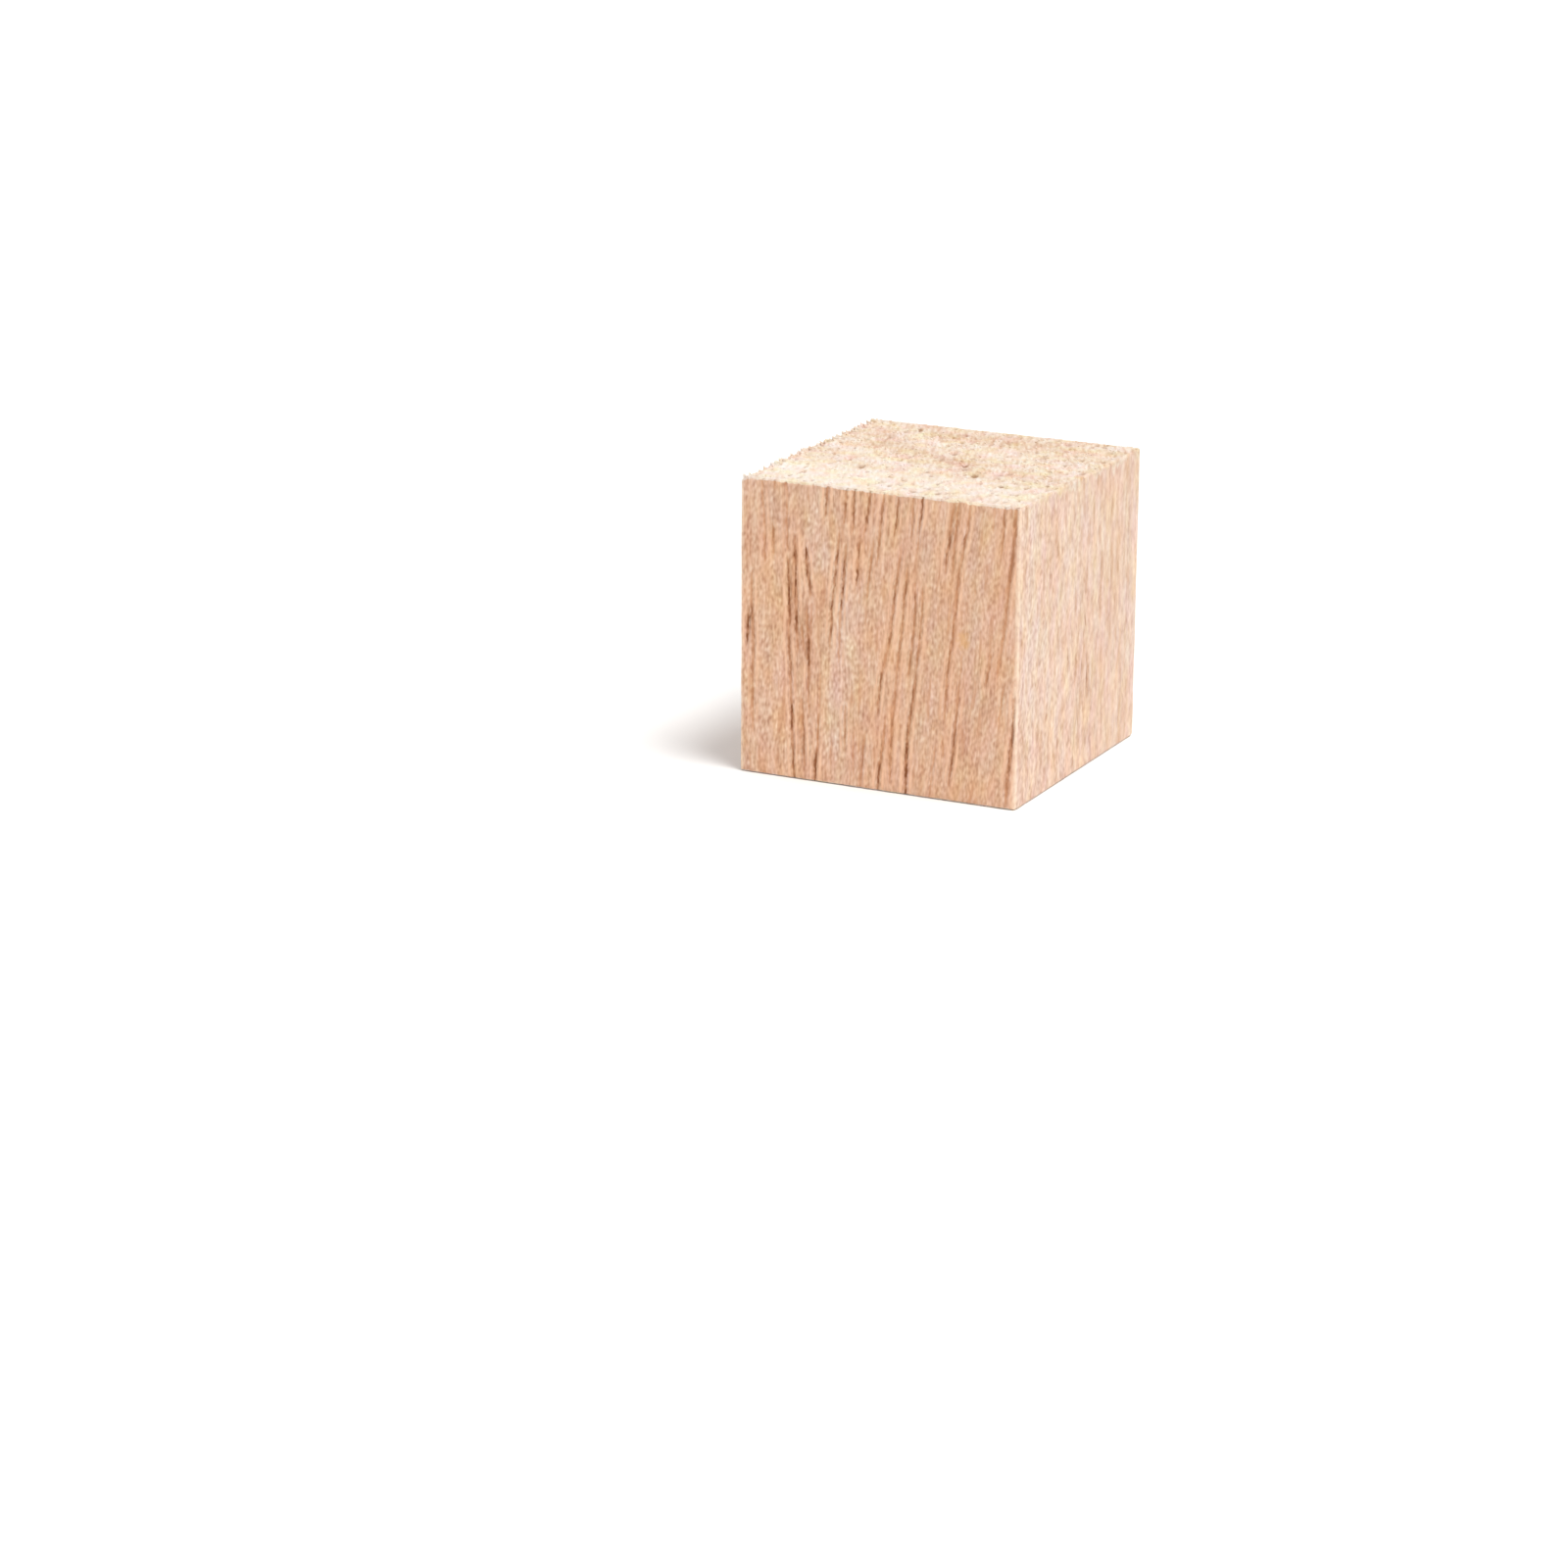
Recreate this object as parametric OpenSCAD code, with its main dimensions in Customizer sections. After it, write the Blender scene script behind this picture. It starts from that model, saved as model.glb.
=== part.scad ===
// Wooden craft cube: one solid block of light, open-pored wood, cut from a
// square stick. The grain runs up +Z, so the top and the bottom are end grain.
// Millimetres. Origin: centre of the bottom face. +Z up, front face towards -Y.

/* [Size] */
// Width across the grain, along X
side_x = 25; // [10:0.5:50]
// Depth across the grain, along Y
side_y = 25; // [10:0.5:50]
// Length along the grain, along Z
side_z = 25; // [10:0.5:50]

/* [Edges] */
// Radius of the four long edges that run with the grain
long_edge_r = 0.35; // [0.1:0.05:2]
// Radius of the eight sawn edges round the end-grain faces
end_edge_r = 0.2; // [0.1:0.05:2]
// Roundness of the edges, in facets to a full circle
edge_fn = 48; // [24:8:96]

/* [Hidden] */
wood = [0.87, 0.70, 0.58];

// A rectangle a by b, centred, with its four corners rounded to r.
module rounded_rect(a, b, r) {
    square([a - 2 * r, b], center = true);
    square([a, b - 2 * r], center = true);
    for (x = [-1, 1], y = [-1, 1])
        translate([x * (a / 2 - r), y * (b / 2 - r)]) circle(r = r, $fn = edge_fn);
}

// A bar of that section, centred on the origin and length l along Z.
module rounded_bar(a, b, r, l) {
    linear_extrude(height = l, center = true) rounded_rect(a, b, r);
}

// The block is what three crossed bars have in common, so each edge takes the
// radius of the bar that it runs along.
module wooden_cube() {
    color(wood)
    translate([0, 0, side_z / 2])
    intersection() {
        rounded_bar(side_x, side_y, long_edge_r, side_z);
        rotate([0, 90, 0]) rounded_bar(side_z, side_y, end_edge_r, side_x);
        rotate([90, 0, 0]) rounded_bar(side_x, side_z, end_edge_r, side_y);
    }
}

wooden_cube();
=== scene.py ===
"""Looks of a small wooden craft cube: one block of pale, open-pored wood with planed sides and rough-sawn ends.

The cube's surface is built as one closed mesh. Its pore lines, torn fibres, sawn relief and worn edges are real
geometry, and the same functions write mesh attributes that colour them; that colour holds painted shade in the pores
and painted highlights on the arrises, the pore lips and the tuft tips. Millimetres inside, metres in the mesh.
"""

import math

import bpy
import numpy as np
from mathutils import Matrix, Vector


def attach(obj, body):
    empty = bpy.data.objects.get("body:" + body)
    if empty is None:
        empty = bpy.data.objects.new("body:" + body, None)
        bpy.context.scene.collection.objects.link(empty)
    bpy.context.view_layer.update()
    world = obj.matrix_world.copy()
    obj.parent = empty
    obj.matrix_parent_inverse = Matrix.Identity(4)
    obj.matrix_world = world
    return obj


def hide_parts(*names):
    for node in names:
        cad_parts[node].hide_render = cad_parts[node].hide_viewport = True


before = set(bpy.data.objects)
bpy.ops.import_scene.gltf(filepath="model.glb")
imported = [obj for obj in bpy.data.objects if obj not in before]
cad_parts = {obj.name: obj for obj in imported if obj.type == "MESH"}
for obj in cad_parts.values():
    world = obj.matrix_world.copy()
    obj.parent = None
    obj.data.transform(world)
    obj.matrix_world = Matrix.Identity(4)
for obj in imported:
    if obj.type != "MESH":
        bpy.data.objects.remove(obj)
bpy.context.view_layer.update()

# ------------------------------------------------------------------ the block
SEED = 20
XL, XR = -12.36, 12.47  # the planed left and right faces; the left one sits back by what its tufts stand proud
YF, YB = -12.46, 12.46  # the planed front and back faces
Z_BOTTOM, Z_TOP = 0.03, 24.80  # mean level of the two sawn ends; tufts on the top reach 25
R_LONG = 0.26  # easing of the edges that run with the grain
R_TOP, R_BOTTOM = 0.13, 0.20  # easing of the sawn edges
COLS = dict(front=340, right=230, back=160, left=160)  # columns across each side
ARC = 5  # segments round each long edge
TOP_N, TOP_M, BOTTOM_N = 140, 76, 84  # cells across each end; the top's are longer the way the saw went

# ------------------------------------------------------------------ noise


def hashed(ix, iy, iz, seed):
    h = (
        ix.astype(np.uint32) * np.uint32(374761393)
        + iy.astype(np.uint32) * np.uint32(668265263)
        + iz.astype(np.uint32) * np.uint32(2246822519)
        + np.uint32((seed * 3266489917) & 0xFFFFFFFF)
    )
    h ^= h >> np.uint32(15)
    h *= np.uint32(2246822519)
    h ^= h >> np.uint32(13)
    h *= np.uint32(3266489917)
    h ^= h >> np.uint32(16)
    return h


def noise(x, y, z=0.0, seed=0):
    """Gradient noise, about -1 to 1."""
    x, y, z = np.broadcast_arrays(*(np.asarray(a, float) for a in (x, y, z)))
    x, y, z = x + 101.3 + 7.1 * seed, y + 57.7, z + 83.9
    ix, iy, iz = (np.floor(a).astype(np.int64) for a in (x, y, z))
    fx, fy, fz = x - ix, y - iy, z - iz
    ux, uy, uz = (f * f * f * (f * (f * 6 - 15) + 10) for f in (fx, fy, fz))
    total = np.zeros(x.shape)
    for dx in (0, 1):
        for dy in (0, 1):
            for dz in (0, 1):
                h = hashed(ix + dx, iy + dy, iz + dz, seed)
                g = (
                    (h & np.uint32(1023)) / 511.5 - 1,
                    ((h >> np.uint32(10)) & np.uint32(1023)) / 511.5 - 1,
                    ((h >> np.uint32(20)) & np.uint32(1023)) / 511.5 - 1,
                )
                w = (
                    (ux if dx else 1 - ux)
                    * (uy if dy else 1 - uy)
                    * (uz if dz else 1 - uz)
                )
                total += w * (g[0] * (fx - dx) + g[1] * (fy - dy) + g[2] * (fz - dz))
    return total * 1.35


def fbm(x, y, z=0.0, seed=0, octaves=3):
    x, y, z = (np.asarray(a, float) for a in (x, y, z))
    return sum(
        noise(x * 2**k, y * 2**k, z * 2**k, seed + k) * 0.5**k for k in range(octaves)
    )


def smooth(a, b, x):
    t = np.clip((x - a) / (b - a), 0, 1)
    return t * t * (3 - 2 * t)


def bars(x, y, strokes):
    """The sum of soft strokes, each (strength, half width, (x0, y0), (x1, y1))."""
    total = np.zeros(np.broadcast(x, y).shape)
    for k, w, (x0, y0), (x1, y1) in strokes:
        dx, dy = x1 - x0, y1 - y0
        t = np.clip(((x - x0) * dx + (y - y0) * dy) / (dx * dx + dy * dy), 0, 1)
        total = total + k * np.exp(-((x - x0 - t * dx) ** 2 + (y - y0 - t * dy) ** 2) / (w * w))
    return total


# ------------------------------------------------------------------ pore lines
# Each line is (half width in mm, [(across, up, darkness), ...]), from top to bottom. Across runs left to right as the
# side is seen from outside, -12.5 to 12.5, and up is the height. The grain leans to the left going down in the right half.
FRONT = [
    (0.10, [(-11.9, 25.2, 0.7), (-11.9, 24.6, 0.4)]),
    (0.12, [(-10.65, 25.1, 0.5), (-10.6, 23.5, 0.35), (-10.45, 21.5, 0.4), (-10.4, 20.0, 0.55), (-10.4, 18.8, 0.55), (-10.35, 17.6, 0.35)]),
    (0.10, [(-9.55, 25.2, 0.6), (-9.5, 24.2, 0.3)]),
    (0.11, [(-9.7, 21.2, 0.45), (-9.58, 19.8, 0.75), (-9.5, 18.3, 0.4)]),
    (0.10, [(-8.4, 24.6, 0.2), (-8.42, 21.5, 0.4), (-8.35, 20.0, 0.55), (-8.3, 19.0, 0.5)]),
    (0.13, [(-8.25, 18.4, 0.9), (-8.2, 16.0, 0.95), (-8.12, 14.0, 0.8), (-8.15, 12.6, 0.6), (-8.2, 11.2, 0.8), (-8.0, 9.6, 0.85), (-8.0, 8.0, 0.45), (-7.85, 6.0, 0.9), (-7.8, 3.6, 0.85), (-7.72, 1.5, 0.8), (-7.6, -0.3, 0.85)]),
    (0.17, [(-7.62, 20.4, 0.6), (-7.66, 18.6, 1.0), (-7.6, 16.6, 1.0), (-7.54, 15.0, 1.0), (-7.5, 13.4, 0.9), (-7.42, 12.0, 0.65), (-7.3, 10.6, 0.35)]),
    (0.16, [(-6.72, 19.7, 0.9), (-6.56, 18.5, 0.95), (-6.5, 17.4, 0.95), (-6.32, 16.4, 0.8), (-6.22, 15.0, 0.35)]),
    (0.11, [(-6.58, 14.4, 0.5), (-6.5, 13.2, 0.55), (-6.4, 12.2, 0.85), (-6.34, 10.4, 0.9), (-6.36, 8.6, 0.8), (-6.34, 6.8, 0.6), (-6.24, 5.4, 0.3)]),
    (0.10, [(-7.0, 13.2, 0.4), (-6.95, 12.2, 0.5), (-6.76, 11.2, 0.5), (-6.48, 10.3, 0.5)]),
    (0.12, [(-4.74, 25.2, 0.85), (-4.85, 24.0, 0.95), (-4.92, 22.9, 0.8), (-4.96, 22.2, 0.4)]),
    (0.12, [(-3.08, 25.2, 0.7), (-3.1, 24.0, 0.8), (-3.16, 23.0, 0.65), (-3.3, 21.8, 0.35)]),
    (0.11, [(-2.34, 25.2, 0.8), (-2.36, 24.0, 0.8), (-2.44, 22.3, 0.75), (-2.5, 20.9, 0.3)]),
    (0.13, [(-0.94, 25.2, 0.7), (-1.04, 23.5, 0.8), (-1.22, 22.2, 0.95), (-1.34, 21.5, 0.6), (-1.6, 20.9, 0.4)]),
    (0.12, [(-1.82, 20.8, 0.5), (-1.92, 19.6, 0.85), (-1.96, 18.4, 0.85), (-2.04, 17.3, 0.95), (-2.08, 16.9, 0.5)]),
    (0.13, [(0.36, 24.9, 0.6), (0.12, 22.6, 0.85), (-0.02, 21.2, 0.85), (-0.1, 20.0, 0.7), (-0.2, 18.9, 0.4)]),
    (0.11, [(-0.55, 20.8, 0.35), (-0.75, 19.2, 0.55), (-0.88, 18.0, 0.7), (-1.0, 17.0, 0.5), (-1.1, 15.8, 0.5)]),
    (0.12, [(-3.68, 21.5, 0.35), (-3.76, 20.0, 0.6), (-3.9, 19.0, 0.9), (-4.0, 18.0, 0.75), (-4.15, 16.4, 0.85), (-4.28, 15.2, 0.9), (-4.36, 13.6, 0.75), (-4.42, 12.7, 0.8), (-4.46, 11.3, 0.25)]),
    (0.12, [(-3.02, 20.4, 0.5), (-3.14, 18.6, 0.85), (-3.3, 17.0, 0.9), (-3.4, 15.6, 0.9), (-3.5, 14.5, 0.7), (-3.56, 12.9, 0.45), (-3.62, 10.2, 0.35)]),
    (0.15, [(-11.5, 17.0, 0.35), (-11.62, 15.2, 0.6), (-11.55, 13.8, 0.8), (-11.45, 12.9, 0.7), (-11.4, 11.5, 0.7), (-11.4, 10.0, 0.6), (-11.48, 8.4, 0.65), (-11.44, 6.4, 0.5), (-11.4, 3.6, 0.25)]),
    (0.16, [(-11.86, 13.6, 0.7), (-11.9, 12.4, 1.0), (-11.98, 10.9, 0.85)]),
    (0.10, [(-5.28, 9.6, 0.25), (-5.34, 6.4, 0.35), (-5.46, 4.9, 0.5), (-5.5, 3.6, 0.55), (-5.58, 2.4, 0.7)]),
    (0.18, [(-5.6, 2.6, 0.75), (-5.7, 1.5, 0.95), (-5.76, -0.3, 1.0)]),
    (0.11, [(-6.92, 7.0, 0.5), (-6.88, 5.2, 0.55), (-6.8, 4.1, 0.85), (-6.72, 2.6, 0.75), (-6.66, 1.0, 0.4)]),
    (0.11, [(-3.0, 7.0, 0.45), (-3.04, 4.8, 0.65), (-3.0, 3.0, 0.5)]),
    (0.11, [(-1.1, 4.9, 0.3), (-1.28, 3.6, 0.6), (-1.4, 2.2, 0.7), (-1.48, 0.8, 0.65), (-1.5, -0.2, 0.6)]),
    (0.14, [(1.98, 21.2, 0.25), (1.9, 19.9, 0.35), (1.74, 18.8, 0.7), (1.54, 17.5, 0.8), (1.36, 16.3, 0.95), (1.24, 15.1, 0.95), (1.16, 14.2, 0.75), (1.08, 13.2, 1.0), (0.95, 12.2, 0.7), (0.62, 11.0, 0.5), (0.3, 9.9, 0.85), (0.14, 8.8, 0.9), (0.04, 7.4, 0.95), (-0.08, 6.2, 0.6)]),
    (0.14, [(0.74, 6.4, 0.5), (0.62, 5.0, 0.65), (0.5, 4.0, 0.75), (0.34, 3.0, 0.95), (0.2, 2.0, 1.0), (0.12, 1.0, 0.95), (0.08, -0.3, 1.0)]),
    (0.13, [(1.66, 24.7, 0.7), (1.56, 23.5, 0.85), (1.44, 22.4, 1.0), (1.3, 21.4, 0.8)]),
    (0.12, [(3.06, 25.1, 0.7), (2.96, 23.5, 0.7), (2.86, 22.4, 0.8), (2.8, 21.4, 0.5)]),
    (0.13, [(3.86, 25.2, 0.9), (3.75, 24.0, 0.95), (3.6, 22.6, 1.1), (3.54, 22.0, 0.7)]),
    (0.09, [(3.56, 21.7, 0.5), (3.42, 20.4, 0.4)]),
    (0.15, [(6.68, 24.7, 0.45), (6.42, 22.9, 0.75), (6.26, 21.6, 0.95), (6.12, 20.5, 0.95), (6.0, 19.6, 1.0), (5.92, 18.9, 0.5)]),
    (0.13, [(7.1, 24.9, 0.6), (6.9, 23.0, 0.65), (6.76, 21.6, 0.75), (6.66, 20.2, 0.7), (6.56, 18.9, 0.4)]),
    (0.14, [(8.1, 24.4, 0.45), (7.9, 22.8, 0.65), (7.66, 21.8, 0.95), (7.44, 20.6, 0.85), (7.26, 19.5, 0.85), (7.1, 18.4, 0.8), (6.96, 17.0, 0.85), (6.86, 15.6, 0.9), (6.78, 14.2, 0.75), (6.62, 13.1, 0.7), (6.44, 12.0, 0.85), (6.3, 10.8, 0.75), (6.2, 9.4, 0.8), (6.15, 8.0, 0.6), (6.08, 6.8, 0.5)]),
    (0.13, [(11.16, 25.1, 0.7), (11.08, 23.4, 0.75), (11.0, 22.0, 0.65), (10.9, 20.6, 0.5)]),
    (0.20, [(12.14, 25.1, 0.6), (12.04, 23.0, 0.75), (11.92, 21.5, 0.8), (11.8, 20.0, 0.8), (11.64, 18.8, 0.75), (11.5, 17.6, 0.5), (11.42, 16.5, 0.65), (11.34, 15.4, 0.6), (11.2, 14.2, 0.65), (11.02, 13.2, 0.65), (10.86, 12.0, 0.5), (10.7, 10.6, 0.3)]),
    (0.13, [(10.25, 13.0, 0.45), (10.02, 11.9, 0.65), (9.82, 10.8, 0.95), (9.75, 9.9, 0.65)]),
    (0.13, [(3.3, 18.0, 0.6), (3.3, 17.0, 1.0), (3.28, 16.0, 0.85), (3.22, 14.8, 0.75), (3.16, 13.5, 0.7), (3.04, 12.4, 0.85), (2.88, 11.2, 0.8), (2.74, 9.8, 0.35)]),
    (0.12, [(3.96, 17.4, 0.55), (3.9, 15.6, 0.65), (3.76, 13.8, 0.7), (3.64, 12.0, 0.7), (3.48, 10.6, 0.7)]),
    (0.175, [(3.46, 10.4, 0.7), (3.3, 9.1, 1.0), (3.14, 8.0, 0.85), (3.0, 6.9, 0.9), (2.86, 5.9, 1.0), (2.74, 4.8, 1.15), (2.66, 3.2, 1.15), (2.64, 1.6, 1.1), (2.54, -0.3, 1.15)]),
    (0.12, [(2.56, 18.9, 0.5), (2.44, 17.6, 0.8), (2.3, 16.4, 0.9), (2.2, 15.0, 0.85), (2.12, 13.9, 0.9), (1.98, 12.9, 0.85), (1.86, 11.8, 0.75), (1.7, 10.4, 0.5), (1.58, 9.0, 0.6), (1.5, 7.6, 0.65), (1.44, 6.7, 0.4)]),
    (0.13, [(1.36, 7.6, 0.6), (1.3, 5.0, 0.85), (1.2, 3.0, 0.8), (1.15, 0.8, 0.55)]),
    (0.11, [(5.85, 5.4, 0.5), (5.98, 4.4, 0.75), (6.02, 3.4, 0.5)]),
    (0.13, [(7.36, 10.0, 0.5), (7.26, 8.8, 0.7), (7.14, 7.0, 0.7), (7.0, 5.6, 0.8), (6.9, 4.3, 1.0), (6.72, 2.9, 0.95), (6.56, 1.8, 1.0), (6.5, 1.2, 0.8)]),
    (0.17, [(12.3, 9.6, 0.7), (12.28, 8.0, 0.85), (12.2, 6.7, 0.95), (12.1, 5.5, 1.0), (12.0, 4.4, 1.0), (11.86, 3.0, 0.8), (11.76, 2.0, 0.8), (11.68, 0.7, 0.5)]),
    (0.08, [(7.6, 12.6, 0.2), (7.5, 11.0, 0.3), (7.42, 10.2, 0.25)]),
    (0.11, [(11.68, 24.75, 0.7), (11.74, 24.25, 0.5)]),
    (0.09, [(5.5, 25.1, 0.4), (5.45, 24.2, 0.2)]),
    (0.09, [(10.3, 24.9, 0.35), (10.1, 22.4, 0.25)]),
    (0.09, [(-6.05, 25.2, 0.5), (-6.1, 24.5, 0.25)]),
    (0.09, [(-8.5, 25.2, 0.45), (-8.55, 24.1, 0.25)]),
]
RIGHT = [
    (0.11, [(-11.2, 24.7, 0.73), (-11.2, 23.6, 0.73)]),
    (0.12, [(-5.32, 21.5, 0.49), (-5.2, 20.6, 0.7)]),
    (0.13, [(-4.8, 20.3, 0.61), (-4.6, 19.3, 0.8)]),
    (0.10, [(-3.95, 19.0, 0.49), (-3.5, 17.9, 0.49)]),
    (0.10, [(-7.5, 19.4, 0.49), (-7.5, 17.6, 0.61), (-7.4, 16.6, 0.49)]),
    (0.10, [(-6.3, 19.5, 0.61), (-6.3, 18.9, 0.61)]),
    (0.10, [(-6.2, 18.4, 0.61), (-6.3, 17.2, 0.61)]),
    (0.10, [(-7.4, 22.4, 0.43), (-7.4, 21.1, 0.49)]),
    (0.14, [(-10.0, 19.2, 0.3), (-10.0, 17.0, 0.37)]),
    (0.11, [(-11.8, 14.2, 0.61), (-11.7, 13.2, 0.61)]),
    (0.10, [(-3.3, 22.1, 0.49), (-3.2, 21.4, 0.49)]),
    (0.11, [(0.2, 24.8, 0.61), (0.3, 23.6, 0.61)]),
    (0.10, [(-6.25, 15.2, 0.37), (-6.0, 14.2, 0.43)]),
    (0.10, [(-1.0, 16.2, 0.37), (-0.8, 14.8, 0.49), (-0.9, 13.3, 0.43)]),
    (0.10, [(0.2, 14.0, 0.61), (0.2, 13.0, 0.61)]),
    (0.10, [(-4.4, 12.8, 0.61), (-4.1, 11.4, 0.61)]),
    (0.11, [(6.0, 25.1, 0.73), (5.8, 24.0, 0.79), (5.9, 22.6, 0.61)]),
    (0.12, [(6.62, 22.1, 0.73), (6.58, 21.4, 0.73)]),
    (0.11, [(6.3, 21.2, 0.61), (6.4, 20.5, 0.67), (6.1, 19.4, 0.55)]),
    (0.10, [(6.6, 18.2, 0.49), (6.6, 16.5, 0.67), (6.7, 14.5, 0.61), (6.6, 12.3, 0.61)]),
    (0.14, [(4.4, 17.4, 0.7), (4.5, 16.0, 0.85), (4.4, 14.5, 0.8), (4.3, 13.5, 0.95), (4.5, 12.6, 0.8)]),
    (0.14, [(3.2, 24.7, 0.49), (3.3, 22.6, 0.43)]),
    (0.11, [(1.5, 17.0, 0.73), (1.5, 16.3, 0.73)]),
    (0.10, [(1.32, 16.2, 0.61), (1.2, 14.9, 0.61)]),
    (0.10, [(2.6, 14.4, 0.61), (2.7, 12.8, 0.61)]),
    (0.13, [(1.1, 13.4, 0.7), (1.3, 12.6, 0.8), (1.5, 11.9, 0.7)]),
    (0.11, [(9.4, 24.5, 0.49), (9.5, 22.6, 0.49)]),
    (0.11, [(10.1, 20.7, 0.61), (10.2, 18.7, 0.61)]),
    (0.10, [(7.8, 17.5, 0.4), (7.8, 16.0, 0.45), (7.6, 14.3, 0.35)]),
    (0.11, [(9.3, 17.0, 0.61), (9.3, 15.5, 0.61)]),
    (0.12, [(7.6, 13.4, 0.73), (7.5, 11.8, 0.79)]),
    (0.10, [(5.6, 15.0, 0.61), (5.7, 14.4, 0.61)]),
    (0.11, [(-2.3, 11.0, 0.73), (-2.1, 10.0, 0.73), (-2.2, 9.0, 0.61)]),
    (0.11, [(-0.5, 10.2, 0.61), (-0.6, 8.2, 0.73)]),
    (0.10, [(-8.1, 6.1, 0.61), (-8.0, 4.7, 0.61)]),
    (0.10, [(-11.1, 6.2, 0.49), (-10.8, 4.8, 0.49)]),
    (0.11, [(-7.2, 3.5, 0.61), (-7.1, 2.3, 0.61)]),
    (0.10, [(-5.7, 3.1, 0.61), (-5.5, 2.1, 0.61)]),
    (0.10, [(-5.9, 4.5, 0.49), (-5.7, 3.3, 0.49)]),
    (0.10, [(-10.2, 4.0, 0.49), (-10.1, 2.0, 0.49)]),
    (0.10, [(-4.7, 3.0, 0.49), (-4.5, 2.0, 0.49)]),
    (0.10, [(-3.9, 4.1, 0.61), (-3.9, 3.3, 0.61)]),
    (0.11, [(-0.5, 1.5, 0.61), (-0.4, -0.1, 0.61)]),
    (0.09, [(-3.2, 7.1, 0.43), (-3.2, 5.8, 0.43)]),
    (0.10, [(-7.0, 10.4, 0.43), (-6.9, 9.5, 0.43)]),
    (0.10, [(0.2, 5.2, 0.61), (0.4, 4.0, 0.61), (0.5, 2.4, 0.55)]),
    (0.14, [(1.8, 9.6, 0.95), (2.0, 8.4, 1.1), (1.9, 7.0, 0.85), (2.1, 5.8, 0.6)]),
    (0.11, [(0.7, 9.2, 0.73), (0.8, 7.8, 0.73)]),
    (0.09, [(0.5, 7.2, 0.43), (0.6, 5.3, 0.43)]),
    (0.10, [(2.9, 7.7, 0.37), (2.9, 4.8, 0.37)]),
    (0.10, [(1.0, 11.7, 0.61), (1.1, 10.3, 0.61)]),
    (0.11, [(6.2, 11.8, 0.61), (6.6, 11.0, 0.67), (6.4, 9.1, 0.55)]),
    (0.13, [(6.0, 8.9, 0.7), (6.3, 8.0, 0.7)]),
    (0.10, [(4.8, 9.7, 0.43), (4.9, 6.8, 0.43)]),
    (0.10, [(4.7, 6.1, 0.61), (4.7, 5.0, 0.61)]),
    (0.11, [(5.3, 4.2, 0.73), (5.5, 3.2, 0.79), (5.4, 1.8, 0.61)]),
    (0.10, [(9.1, 7.4, 0.49), (9.2, 5.8, 0.49)]),
    (0.11, [(9.2, 4.0, 0.73), (9.2, 2.6, 0.73), (9.1, 1.6, 0.61)]),
    (0.10, [(4.2, 2.0, 0.37), (4.3, 0.3, 0.43)]),
]


def grown_lines(seed, clusters, singles, lean):
    """Pore lines of the same habit as the listed ones, for a side that was never seen."""
    r = np.random.default_rng(seed)
    starts = []
    for _ in range(clusters):
        middle, height = r.uniform(-11.5, 11.5), r.uniform(2, 23)
        for _ in range(r.integers(3, 7)):
            starts.append((middle + r.normal(0, 0.9), height + r.normal(0, 3.5)))
    starts += [(r.uniform(-12.2, 12.2), r.uniform(0, 25)) for _ in range(singles)]
    made = []
    for across, height in starts:
        length = float(np.clip(r.lognormal(1.35, 0.6), 1.2, 15))
        steps = max(2, int(length / 1.6) + 1)
        ups = np.linspace(height + length / 2, height - length / 2, steps)
        wander = np.cumsum(r.normal(0, 0.045, steps))
        slope = lean(across) + r.normal(0, 0.012)
        strength = r.uniform(0.45, 1.0)
        dark = np.clip(strength + r.normal(0, 0.14, steps), 0.2, 1)
        dark[0] *= 0.6
        dark[-1] *= 0.6
        made.append(
            (
                r.uniform(0.09, 0.14),
                [
                    (across + slope * (u - height) + w, u, d)
                    for u, w, d in zip(ups, wander, dark)
                ],
            )
        )
    return made


def back_lean(u):  # the same lean as the front's, seen from behind
    return -0.10 * float(smooth(-3, 6, -u))


def settled(lines, move, firm):
    """The listed lines moved sideways a little and made firmer or fainter, by amounts that change over the face."""
    return [
        (half * float(firm(points[0][0])) ** 0.6, [(u + float(move(u, z)), z, d * float(firm(u))) for u, z, d in points])
        for half, points in lines
    ]


FRONT = settled(
    FRONT, lambda u, z: 0.31 - 0.41 * np.clip((u + 4.0) / 15.0, 0, 1), lambda u: np.interp(u, [-3.0, 0.5, 3.5], [1.12, 0.93, 0.95])
)
RIGHT = settled(RIGHT, lambda u, z: -0.05 - 0.20 * smooth(9, 2, z), lambda u: np.interp(u, [-2.0, 5.0], [1.25, 0.88]))

LINES = dict(
    front=FRONT + grown_lines(SEED + 1, 0, 14, lambda u: 0.10 * float(smooth(-3, 6, u))),
    right=RIGHT,
    back=grown_lines(SEED + 2, 12, 22, back_lean),
    left=grown_lines(SEED + 3, 8, 24, lambda u: 0.01),
)
GROWN_DIM = {"front": len(FRONT)}  # lines past this one are the faint ones between the listed ones
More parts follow.
